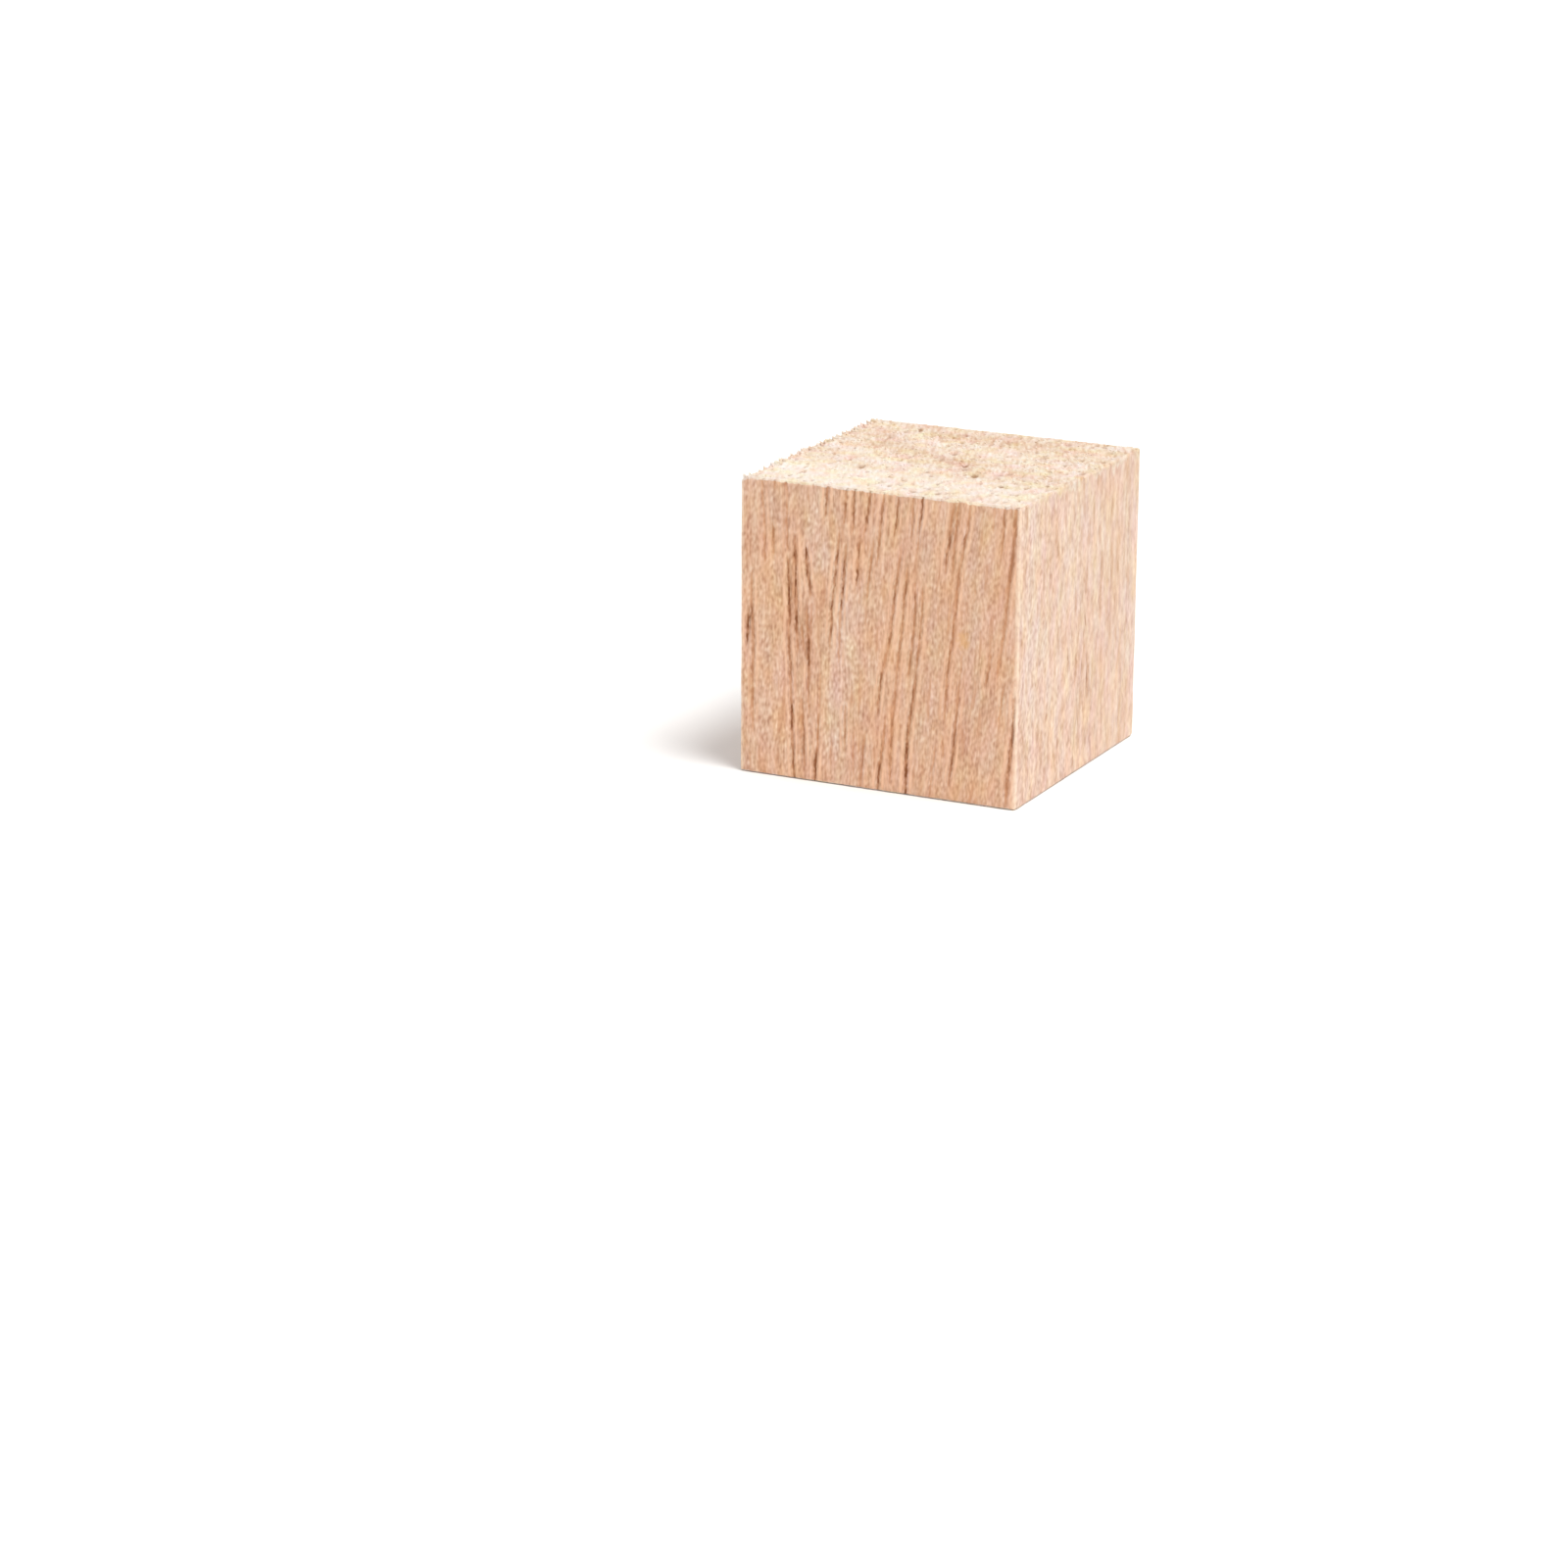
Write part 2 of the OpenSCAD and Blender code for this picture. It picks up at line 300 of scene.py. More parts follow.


# Broad soft patches on the two sides that were seen: above 0 warm and tan, below 0 pale and greyish.
WARM = dict(
    front=[
        (-1.0, 0.9, (-5.4, 24.0), (-5.0, 18.5)), (-1.3, 1.25, (-2.4, 16.2), (-3.6, 3.6)), (0.7, 0.8, (-10.0, 20.0), (-9.8, 16.5)),
        (0.45, 1.0, (-7.4, 19.0), (-7.2, 12.0)), (0.6, 1.1, (-1.2, 23.0), (-1.8, 18.5)), (0.75, 1.1, (2.5, 17.8), (1.7, 11.0)),
        (0.6, 1.2, (1.6, 8.5), (0.9, 4.0)), (0.6, 0.9, (6.8, 23.0), (6.3, 17.6)), (0.3, 0.9, (6.4, 12.0), (6.1, 3.0)),
        (0.55, 0.8, (11.1, 24.0), (10.3, 8.0)), (-0.4, 1.0, (9.0, 20.0), (8.6, 6.0)), (1.4, 0.45, (-12.3, 15.5), (-12.2, 11.5)),
        (-0.35, 0.9, (4.6, 20.0), (4.4, 3.0)), (0.5, 1.0, (-7.0, 1.2), (-5.2, 0.4)), (-0.3, 1.0, (-11.0, 9.0), (-10.0, 3.0)),
    ],
    right=[
        (-1.1, 1.8, (-8.9, 15.2), (-8.9, 7.6)), (-0.6, 1.4, (-9.6, 25.0), (-9.6, 21.0)), (1.0, 0.9, (-5.1, 22.4), (-4.9, 17.2)),
        (0.45, 1.3, (-7.6, 19.2), (-7.3, 17.0)), (0.6, 0.8, (-3.8, 12.8), (-3.4, 11.4)), (0.9, 1.0, (1.2, 17.0), (1.6, 13.2)),
        (0.9, 0.9, (1.6, 10.0), (1.2, 5.0)), (0.9, 0.8, (7.2, 23.6), (7.3, 15.6)), (0.8, 0.8, (6.9, 14.2), (6.7, 11.4)),
        (-0.35, 2.0, (-0.2, 24.0), (0.4, 18.6)), (0.7, 0.6, (3.4, 25.0), (3.4, 23.4)), (-0.5, 1.0, (10.6, 20.0), (10.6, 3.0)),
        (0.5, 0.7, (4.4, 17.0), (4.4, 12.6)), (0.4, 0.8, (5.4, 8.0), (5.4, 2.0)), (0.35, 1.0, (-11.6, 8.0), (-11.2, 1.0)),
        (0.3, 1.0, (-6.0, 6.0), (-6.0, 2.0)),
    ],
)


def pore_field(lines, u, z, faint_from=None, seed=0):
    """Over a grid of places on a side: the distance in mm from the nearest pore line's edge (negative inside), its darkness, how deep it is cut, the signed distance from its middle and its half width."""
    near = np.full(np.broadcast(u, z).shape, 0.9)
    dark = np.zeros_like(near)
    cut = np.zeros_like(near)
    line = np.full_like(near, 0.5)
    wide = np.full_like(near, -0.2)
    for k, (half, points) in enumerate(lines):
        p = np.array(points[::-1], float)  # upwards
        if faint_from is not None and k >= faint_from:
            p[:, 2] *= 0.4
            half = half * 0.8
        ends = (p[0, 1], p[-1, 1])
        at = np.interp(z, p[:, 1], p[:, 0])
        at = at + 0.045 * noise(z * 0.55, k * 3.7, 0, seed + 11) + 0.02 * noise(
            z * 1.9, k * 1.3, 0, seed + 12
        )
        depth = np.interp(z, p[:, 1], p[:, 2])
        inside = np.minimum(z - ends[0], ends[1] - z)  # how far from the nearer end
        depth = depth * np.clip(1 + inside / 0.7, 0, 1)  # nothing of a line shows past its ends
        taper = np.clip(inside / 0.9, -1.6, 1)
        swell = 1 + 0.28 * noise(z * 0.9, k * 5.1, 0, seed + 13)
        width = np.where(taper > 0, 0.64 * half * swell * np.sqrt(np.clip(taper, 0, 1)), 0.2 * taper)
        gap = np.abs(u - at) - width
        closer = gap < near
        near = np.where(closer, gap, near)
        line = np.where(closer, u - at, line)
        wide = np.where(closer, width, wide)
        dark = np.where(closer, depth, dark)
        open_ = np.clip(taper * 3, 0, 1)
        shape = np.clip(1 - ((u - at) / np.maximum(half * 1.5, 0.05)) ** 2, 0, 1)
        cut = np.maximum(cut, shape * open_ * depth)
    return near, np.clip(dark, 0, 1), cut, line, wide


# ------------------------------------------------------------------ the sides, as one band round the block
rng = np.random.default_rng(SEED)
SIDES = ("front", "right", "back", "left")


def corner_points(r):
    """For a rounding of radius r: the four sides' (start, direction, length, normal), set back by r to leave room for
    the arcs between them.
    """
    x0, x1, y0, y1 = XL + r, XR - r, YF + r, YB - r
    return {
        "front": ((x0, YF), (1, 0), x1 - x0, (0, -1)),
        "right": ((XR, y0), (0, 1), y1 - y0, (1, 0)),
        "back": ((x1, YB), (-1, 0), x1 - x0, (0, 1)),
        "left": ((XL, y1), (0, -1), y1 - y0, (-1, 0)),
    }


def row_heights():
    bottom = [0.0, 0.055, 0.13, 0.24, 0.45, 0.8]
    top = [0.0, 0.04, 0.09, 0.16, 0.26, 0.40, 0.60, 0.90]
    middle = np.linspace(0.8, Z_TOP - 0.9, 37)[1:-1]
    return np.array(bottom + list(middle) + [Z_TOP - t for t in top[::-1]])


ROWS = row_heights()
columns = []  # (side index, place along the side 0..1 or None, arc step or None)
for s, name in enumerate(SIDES):
    n = COLS[name]
    for j in range(n + 1):
        columns.append((s, j / n, None))
    for k in range(1, ARC):
        columns.append((s, None, k / ARC))
NC, NR = len(columns), len(ROWS)
side_of = np.array([c[0] for c in columns])
along = np.array([c[1] if c[1] is not None else 1.0 for c in columns])
turn = np.array([c[2] if c[2] is not None else 0.0 for c in columns])

base = corner_points(R_LONG)
px = np.zeros(NC)
py = np.zeros(NC)
nx = np.zeros(NC)
ny = np.zeros(NC)
across = np.zeros(NC)  # the side's own coordinate, left to right as seen from outside
for i in range(NC):
    (sx, sy), (dx, dy), length, (ox, oy) = base[SIDES[side_of[i]]]
    # a little denser towards the long edges
    t = along[i]
    t = t + 0.004 * math.sin(2 * math.pi * t) * -1
    px[i], py[i] = sx + dx * length * t, sy + dy * length * t
    nx[i], ny[i] = ox, oy
    if turn[i] > 0:
        a = turn[i] * math.pi / 2
        cx, cy = sx + dx * length - ox * R_LONG, sy + dy * length - oy * R_LONG
        nx[i], ny[i] = ox * math.cos(a) + dx * math.sin(a), oy * math.cos(a) + dy * math.sin(a)
        px[i], py[i] = cx + nx[i] * R_LONG, cy + ny[i] * R_LONG
    across[i] = px[i] * dx + py[i] * dy

U = np.broadcast_to(across, (NR, NC))
Z = np.broadcast_to(ROWS[:, None], (NR, NC))
near = np.full((NR, NC), 0.9)
dark = np.zeros((NR, NC))
cut = np.zeros((NR, NC))
warm = np.zeros((NR, NC))
line = np.full((NR, NC), 0.5)
wide = np.full((NR, NC), -0.2)
for s, name in enumerate(SIDES):
    m = side_of == s
    near[:, m], dark[:, m], cut[:, m], line[:, m], wide[:, m] = pore_field(
        LINES[name], U[:, m], Z[:, m], GROWN_DIM.get(name), seed=s
    )
    if name in WARM:
        warm[:, m] = bars(U[:, m], Z[:, m], WARM[name]) * (1.1 if name == "front" else 0.65)
    else:
        warm[:, m] = 1.3 * fbm(U[:, m] * 0.35, Z[:, m] * 0.07, 0, 21 + s, 2)
# round a long edge the field fades out, so that the next side starts clean
fade = 1 - smooth(0.05, 0.5, turn)
near = 0.9 + (near - 0.9) * fade
warm = warm * fade
wide = wide * fade - 0.4 * (1 - fade)
cut = cut * fade

PX, PY = np.broadcast_to(px, (NR, NC)), np.broadcast_to(py, (NR, NC))
grain = noise(PX * 2.6, PY * 2.6, Z * 0.10, 31)  # fine ridges that run with the grain
broad = fbm(PX * 0.28, PY * 0.28, Z * 0.07, 32, 2)
fleck = noise(PX * 4.6, PY * 4.6, Z * 1.4, 33)
ridged = np.choose(side_of, [1.0, 0.25, 1.0, 0.6])[None, :]  # the right side is planed smoother
inward = (
    0.022
    + 0.030 * (0.5 + 0.5 * broad)
    + 0.013 * grain * ridged
    + 0.006 * fleck * ridged
    + 0.05 * cut**0.8
)
# worn and nicked long edges
edge_gap = np.minimum(along, 1 - along)
edge_gap = np.array(
    [
        0.0 if turn[i] > 0 else edge_gap[i] * base[SIDES[side_of[i]]][2]
        for i in range(NC)
    ]
)
edge_id = (side_of + ((along > 0.5) | (turn > 0)).astype(int)) % 4
edge_seed = edge_id[None, :] * 17.3
wear = noise(Z * 0.35, edge_seed, 0, 41) * 0.5 + 0.5
nick = np.clip(noise(Z * 0.8, edge_seed + 5, 0, 42) - 0.42, 0, 1) * 1.6
nick += np.clip(noise(Z * 2.1, edge_seed + 9, 0, 43) - 0.5, 0, 1) * 1.0
close = np.exp(-((edge_gap / 0.24) ** 2))[None, :]
inward = inward + close * (0.02 + 0.06 * wear + 0.17 * nick)
# the splinter on the front's left edge
splinter = np.exp(-(((Z - 13.6) / 1.5) ** 2)) * np.exp(-(((U + 12.3) / 0.28) ** 2)) * (side_of == 0)
inward = inward - 0.05 * splinter + 0.10 * np.exp(-(((Z - 16.1) / 0.6) ** 2)) * np.exp(
    -(((U + 12.45) / 0.3) ** 2)
) * (side_of == 0)

# easing of the sawn edges: the band turns in at its two ends
low, high = ROWS[0], ROWS[-1]
down = np.clip((R_BOTTOM - (Z - low)) / R_BOTTOM, 0, 1)
up = np.clip((R_TOP - (high - Z)) / R_TOP, 0, 1)
torn = smooth(Z_TOP - 0.30, Z_TOP - 0.05, Z)
inward = inward + torn * (0.04 * noise(PX * 2.6, PY * 2.6, Z * 2.0, 55) + rng.normal(0, 0.006, (NR, NC)))
turn_in = R_BOTTOM * (1 - np.sqrt(1 - down**2)) + R_TOP * (1 - np.sqrt(1 - up**2))
inward = inward + turn_in
VX = PX - nx * inward
VY = PY - ny * inward
# the top edge is ragged, and each pore that reaches it leaves a notch


def left_drop(x):
    """How far the sawn end falls away towards its torn left edge."""
    return 0.26 * smooth(-11.3, -12.3, x)


rag = (
    0.07 * noise(PX * 0.9, PY * 0.9, 0, 51)
    + 0.07 * noise(PX * 2.6, PY * 2.6, 0, 52)
    + 0.05 * noise(PX * 5.3, PY * 5.3, 0, 54)
    - 0.10 * cut[-8:-7, :] ** 1.0
)
VZ = Z + rag * smooth(Z_TOP - 0.45, Z_TOP, Z)
VZ = VZ + torn * rng.normal(0, 0.006, (NR, NC))
VZ = VZ - left_drop(PX) * smooth(Z_TOP - 1.6, Z_TOP, Z)
VZ = VZ + Z_BOTTOM * (1 - smooth(0, 1.0, Z))
rag_low = 0.02 * noise(PX * 2.1, PY * 2.1, 0, 53)
VZ = VZ + np.abs(rag_low) * (1 - smooth(0, 0.4, Z))

# ------------------------------------------------------------------ the two ends
verts, faces, face_uv = [], [], []
point = dict(pore=[], dark=[], line=[], wide=[], end=[], tone=[], tuft=[], rnd=[], edge=[], warm=[])
DEFAULT = dict(pore=0.9, line=0.5, wide=-0.2)


def add_points(x, y, z, **values):
    start = sum(len(v) for v in verts)
    x = np.ravel(x)
    verts.append(np.stack([x, np.ravel(y), np.ravel(z)], 1))
    for k in point:
        v = values.get(k, DEFAULT.get(k, 0.0))
        point[k].append(np.broadcast_to(np.ravel(v), x.shape) if np.size(v) > 1 else np.full(x.shape, float(np.ravel(v)[0])))
    return start


# UV islands: three across and two up, with each side's across direction on the long axis
ISLAND = dict(front=(0, 0), right=(1, 0), back=(2, 0), left=(0, 1), top=(1, 1), bottom=(2, 1))
PAD = 0.006


def to_island(name, s, t):
    """s (0..1) goes along the short side of the island and t (0..1) along the long one."""
    c, r = ISLAND[name]
    return np.stack(
        [
            (c + PAD * 3 + (1 - PAD * 6) * np.asarray(s)) / 3,
            (r + PAD * 2 + (1 - PAD * 4) * np.asarray(t)) / 2,
        ],
        -1,
    )


# how far up into the fringe of the sawn end a place on a side is: 0 below it, 1 at the edge
fringe = np.choose(side_of, [0.28, 1.1, 0.5, 0.5])[None, :]
side_end = np.clip((Z - (Z_TOP - fringe)) / fringe, 0, 1) - 0.25 * cut
side_end = np.maximum(side_end, 0.9 * (1 - smooth(0.0, 0.25, Z)))
tone_side = np.choose(side_of, [-1.0, 0.55, -0.35, 0.2])[None, :] * np.ones((NR, 1))
# painted highlight along the long arrises, patchy along each edge; the front's right arris is lit pale only on its own
# round, for the grain opens right beside it
reach_in = np.where(turn == 0, 0.10, 0.30)
painted_arris_highlight = np.exp(-((edge_gap / reach_in) ** 2))[None, :] * np.ones((NR, 1)) * (0.6 + 0.4 * wear)
# round each long edge the tone turns from one side's to the next one's
next_tone = np.choose((side_of + 1) % 4, [-1.0, 0.55, -0.35, 0.2])
tone_side = tone_side * (1 - smooth(0, 1, turn)) + next_tone * smooth(0, 1, turn)

band = add_points(
    VX, VY, VZ, pore=near, dark=dark, line=line, wide=wide, end=side_end, tone=tone_side, edge=painted_arris_highlight, warm=warm,
    rnd=0.5 + 0.5 * np.clip(noise(VX * 4.1, VY * 4.1, VZ * 4.1, 56) + rng.normal(0, 0.3, (NR, NC)), -1, 1),
)
grid = band + np.arange(NR * NC).reshape(NR, NC)
col_start = np.array([np.flatnonzero(side_of == s)[0] for s in range(4)] + [NC])
# distance along the band, for the UV
step = np.hypot(np.diff(np.append(px, px[0])), np.diff(np.append(py, py[0])))
for s, name in enumerate(SIDES):
    a, b = col_start[s], col_start[s + 1]
    cols = np.arange(a, b + 1) % NC
    dist = np.concatenate([[0], np.cumsum(step[a:b])])
    dist /= dist[-1]
    height = (ROWS - ROWS[0]) / (ROWS[-1] - ROWS[0])
    uv = to_island(name, *np.broadcast_arrays(height[:, None], dist[None, :]))
    g = grid[:, cols]
    q = np.stack([g[:-1, :-1], g[:-1, 1:], g[1:, 1:], g[1:, :-1]], -1).reshape(-1, 4)
    quv = np.stack([uv[:-1, :-1], uv[:-1, 1:], uv[1:, 1:], uv[1:, :-1]], -2).reshape(-1, 4, 2)
    faces.append(q)
    face_uv.append(quv)


def end_cell_lines(n, lo, hi, jitter, r):
    """Places of a grid's lines from lo to hi, a little uneven."""
    t = np.linspace(lo, hi, n + 1)
    t[1:-1] += r.uniform(-jitter, jitter, n - 1) * (hi - lo) / n
    return t


def zipper(outer, inner, outer_xy, inner_xy, upward, name):
    """Joins two closed rings of points, given in the same sense and from the same corner, with a strip of triangles."""

    def share(xy):
        closed = np.vstack([xy, xy[:1]])
        # by the angle round a square, so that the two rings keep step at the corners
        cx, cy = (XL + XR) / 2, (YF + YB) / 2
        a = np.arctan2(closed[:, 1] - cy, closed[:, 0] - cx)
        a = np.unwrap(a)
        return a - a[0]

    so, si = share(outer_xy), share(inner_xy)
    # both start near the same corner: shift the inner ring's start onto the outer's scale
    a0 = math.atan2(outer_xy[0][1], outer_xy[0][0])
    b0 = math.atan2(inner_xy[0][1], inner_xy[0][0])
    off = (b0 - a0 + math.pi) % (2 * math.pi) - math.pi
    si = si + off
    no, ni = len(outer), len(inner)
    i = j = 0
    tris = []
    while i < no or j < ni:
        go_outer = j >= ni or (i < no and so[i + 1] <= si[j + 1])
        if go_outer:
            tris.append((outer[i], outer[(i + 1) % no], inner[j % ni]))
            i += 1
        else:
            tris.append((outer[i % no], inner[(j + 1) % ni], inner[j]))
            j += 1
    t = np.array(tris)
    return t if upward else t[:, ::-1]


def ring_of(g):
    """The border of a grid of point numbers, anticlockwise from its low corner, each once."""
    return np.concatenate([g[0, :-1], g[:-1, -1], g[-1, :0:-1], g[:0:-1, 0]])


def end_uv(name, x, y):
    s = (np.asarray(x) - XL) / (XR - XL)
    t = (np.asarray(y) - YF) / (YB - YF)
    return to_island(name, s, t)


# ---- pores that come up on an end: where each is and how wide
def end_pores(seed, count):
    r = np.random.default_rng(seed)
    p = np.stack([r.uniform(-12.2, 12.2, count), r.uniform(-12.2, 12.2, count)], 1)
    return p, r.uniform(0.08, 0.17, count), r.uniform(0.3, 0.9, count)


BIG_PITS = [
    (-5.1, -4.9, 0.22), (2.2, -0.5, 0.24), (7.8, -5.9, 0.22), (-6.9, 10.3, 0.24), (-2.4, 10.0, 0.22), (-1.6, 7.2, 0.2),
    (-0.4, 3.2, 0.22), (1.6, 2.2, 0.18), (2.8, -1.9, 0.2), (4.4, -3.5, 0.28), (-7.8, 6.5, 0.2), (9.4, 3.2, 0.2),
    (8.4, -4.4, 0.18), (1.9, 11.2, 0.2), (5.4, 6.8, 0.18), (8.8, 6.9, 0.18), (-7.8, -3.5, 0.2), (-10.9, 9.4, 0.2),
    (-9.3, 5.0, 0.18), (-11.6, 1.2, 0.2), (-11.2, -4.6, 0.18), (6.6, 10.8, 0.2), (10.9, 9.6, 0.2), (-4.0, 8.4, 0.16),
]


def pore_dots(x, y, centres, radii, strengths):
    near = np.full(x.shape, 0.9)
    dark = np.zeros(x.shape)
    middle = np.full(x.shape, 0.5)
    wide = np.full(x.shape, -0.2)
    for (cx, cy), rad, k in zip(centres, radii, strengths):
        m = (np.abs(x - cx) < 0.8) & (np.abs(y - cy) < 1.4)
        if not m.any():
            continue
        gap = np.hypot(x[m] - cx + 0.4 * (y[m] - cy), (y[m] - cy) / 2.1) - rad
        closer = gap < near[m]
        n, d, o, w = near[m], dark[m], middle[m], wide[m]
        n[closer], d[closer], o[closer], w[closer] = gap[closer], k, gap[closer] + rad, rad
        near[m], dark[m], middle[m], wide[m] = n, d, o, w
    return near, dark, middle, wide


# ---- the top: sawn end grain with torn tufts that lean to the left
inset = R_TOP + 0.07
gx = end_cell_lines(TOP_N, XL + inset + 0.03, XR - inset - 0.03, 0.22, rng)
gy = end_cell_lines(TOP_M, YF + inset + 0.03, YB - inset - 0.03, 0.22, rng)
TX, TY = np.meshgrid(gx, gy)
inner = np.zeros(TX.shape, bool)
inner[1:-1, 1:-1] = True
TX = TX + np.where(inner, rng.uniform(-0.22, 0.22, TX.shape) * (gx[-1] - gx[0]) / TOP_N, 0)
TY = TY + np.where(inner, rng.uniform(-0.22, 0.22, TY.shape) * (gy[-1] - gy[0]) / TOP_M, 0)

centres, radii, strengths = end_pores(SEED + 7, 480)
big = np.array(BIG_PITS)
centres = np.vstack([centres, big[:, :2]])
radii = np.concatenate([radii, big[:, 2] * 1.15])
strengths = np.concatenate([strengths, np.where(big[:, 2] > 0.21, 0.95, 0.5)])
t_near, t_dark, t_line, t_wide = pore_dots(TX, TY, centres, radii, strengths)
pit = smooth(0.10, -0.08, t_near)
saw = 0.035 * noise(TX * 0.35, TY * 1.1, 0, 71) + 0.03 * noise(TX * 0.18, TY * 0.18, 0, 72)
slip = TX + 0.4 * TY  # the saw's way
lumps = 0.05 * noise(slip * 1.9, TY * 0.9, 0, 73) + 0.035 * noise(slip * 3.6, TY * 1.3, 0, 74)
rim = np.minimum.reduce([TX - gx[0], gx[-1] - TX, TY - gy[0], gy[-1] - TY])
settle = smooth(0, 0.5, rim)
TZ = Z_TOP + 0.01 - left_drop(TX) + 0.8 * (saw + lumps) * (0.4 + 0.6 * settle) - 0.22 * pit * (0.3 + 0.7 * t_dark) * settle


# the year rings cross the end as slanting bands, cream where the saw tore the grain and tan where it cut clean, and
# the front of the end is the palest
t_tone = (
    -0.02
    + 0.62 * smooth(-1.5, -9.0, TY + 0.2 * TX)
    - 0.15 * smooth(4.5, 9.0, TY) * smooth(8.0, 3.0, TX)
    + 0.32 * fbm(TX * 0.75, TY * 0.38, 0, 81, 3)
    + 0.74 * bars(
        TX,
        TY,
        [
            (-0.75, 1.2, (-9.4, 8.0), (-6.9, 3.6)), (-0.75, 1.3, (-6.9, 3.4), (1.2, 0.6)), (-0.85, 1.4, (1.2, 0.6), (4.2, -3.4)),
            (-0.80, 1.7, (-3.6, 9.5), (7.4, 8.6)), (-0.6, 0.9, (-7.0, 11.8), (-6.4, 11.2)), (0.5, 1.1, (-8.8, 9.6), (-2.7, 5.4)),
            (0.45, 1.2, (-2.7, 5.4), (5.4, 3.7)), (0.45, 1.2, (5.4, 3.7), (11.5, 0.8)), (0.45, 1.2, (-10.8, 1.3), (-2.6, -2.5)),
            (-0.30, 1.0, (-12.2, -0.6), (-4.9, -4.2)), (0.55, 2.4, (-11.2, -8.0), (-4.0, -8.6)), (0.35, 2.4, (3.0, -6.2), (12.0, -6.4)),
            (-0.5, 1.1, (7.0, -11.6), (8.2, -11.2)), (-0.5, 1.0, (11.8, 8.9), (12.4, 8.9)), (-0.3, 1.2, (6.4, -0.6), (11.6, -2.2)),
            (-0.35, 0.8, (-12.3, 5.5), (-12.3, -4.0)), (-0.25, 0.6, (-9.0, 12.2), (9.0, 12.2)), (-0.6, 0.5, (12.3, -10.5), (12.3, 12.0)),
        ],
    )
)
t_tone = np.clip(t_tone, -1.2, 1.2)

top = add_points(TX, TY, TZ, pore=t_near, dark=t_dark, line=t_line, wide=t_wide, end=2.0, tone=t_tone, rnd=0.5 + 0.5 * noise(TX * 5, TY * 2.2, 0, 82))
tg = top + np.arange(TX.size).reshape(TX.shape)
cells = np.stack([tg[:-1, :-1], tg[:-1, 1:], tg[1:, 1:], tg[1:, :-1]], -1).reshape(-1, 4)
P = np.concatenate(verts)
mid = P[cells].mean(1)
cell_tone = t_tone[:-1, :-1].ravel()
cell_pit = pit[:-1, :-1].ravel()
want = 0.27 * (1 + 0.5 * noise(mid[:, 0] * 0.8, mid[:, 1] * 0.8, 0, 91)) * (1 + 0.2 * cell_tone)
left_edge = smooth(1.0, 0.1, mid[:, 0] - gx[0])
want = want + 0.55 * left_edge
calm = 1 - 0.42 * smooth(-2.0, -8.0, mid[:, 1]) * smooth(0.1, 1.2, mid[:, 1] - gy[0])  # the front of the end is cut cleaner
want = want * calm
other_edge = smooth(0.35, 0.05, np.minimum.reduce([gx[-1] - mid[:, 0], mid[:, 1] - gy[0], gy[-1] - mid[:, 1]]))
want = want + 0.10 * other_edge
is_tuft = (rng.uniform(0, 1, len(cells)) < want) & (cell_pit < 0.35)

# plain cells
faces.append(cells[~is_tuft])
face_uv.append(end_uv("top", P[cells[~is_tuft]][..., 0], P[cells[~is_tuft]][..., 1]))
# tufts: each grows out of its cell to a point and leans over to the left; the long ones keep their width half way
tc = cells[is_tuft]
n_t = len(tc)
corners = P[tc]
centre = corners.mean(1)
edge_t = left_edge[is_tuft]
reach = rng.beta(1.5, 2.6, n_t)
rise = (0.038 + 0.11 * reach) * (0.4 + 0.6 * calm[is_tuft]) * (1 - 0.35 * other_edge[is_tuft]) + 0.40 * edge_t * rng.uniform(0.1, 1.0, n_t) ** 1.5
rise = np.minimum(rise, 24.995 - centre[:, 2])
swirl = noise(centre[:, 0] * 0.4, centre[:, 1] * 0.4, 0, 92)
lean_a = math.pi + 0.45 * swirl + rng.normal(0, 0.35, n_t)  # mostly towards the left
# the ones on the border lean out over it
out_x = smooth(0.7, 0.1, gx[-1] - centre[:, 0]) - smooth(0.7, 0.1, centre[:, 0] - gx[0])
out_y = smooth(0.7, 0.1, gy[-1] - centre[:, 1]) - smooth(0.7, 0.1, centre[:, 1] - gy[0])
lean_x, lean_y = np.cos(lean_a) + 2.2 * out_x, np.sin(lean_a) + 1.6 * out_y
lean_a = np.arctan2(lean_y, lean_x)
lean_k = rng.uniform(0.3, 1.4, n_t) * (1 - 0.5 * edge_t)
tip = centre + np.stack([np.cos(lean_a) * rise * lean_k, np.sin(lean_a) * rise * lean_k, rise], 1)
tip[:, 0] = np.clip(tip[:, 0], -12.495, 12.495)
tip[:, 1] = np.clip(tip[:, 1], -12.495, 12.495)
t_rnd = rng.uniform(0, 1, n_t)
tuft_tone = cell_tone[is_tuft]
uv_corner = end_uv("top", corners[..., 0], corners[..., 1])
uv_mid = end_uv("top", centre[:, 0], centre[:, 1])
uv_ring = uv_mid[:, None] + (uv_corner - uv_mid[:, None]) * 0.5
tip_id = add_points(tip[:, 0], tip[:, 1], tip[:, 2], pore=0.9, end=2.0, tone=tuft_tone, tuft=1.0, rnd=t_rnd)  # pale tips: the torn fibres' own paleness with a painted highlight on the tips
T1 = tip_id + np.arange(n_t)
is_long = rise > np.quantile(rise, 0.52)
ring_at = centre + (tip - centre) * np.array([0.42, 0.42, 0.60])
ring = ring_at[:, None, :] + (corners - centre[:, None, :]) * np.array([0.78, 0.78, 0.35])
ring[..., 2] = np.minimum(ring[..., 2], 24.99)
n_l = int(is_long.sum())
ring_id = add_points(
    ring[is_long][..., 0], ring[is_long][..., 1], ring[is_long][..., 2],
    pore=0.9, end=2.0, tone=np.repeat(tuft_tone[is_long], 4), tuft=0.55, rnd=np.repeat(t_rnd[is_long], 4),
)
R4 = ring_id + np.arange(n_l * 4).reshape(n_l, 4)
lc, sc_ = tc[is_long], tc[~is_long]
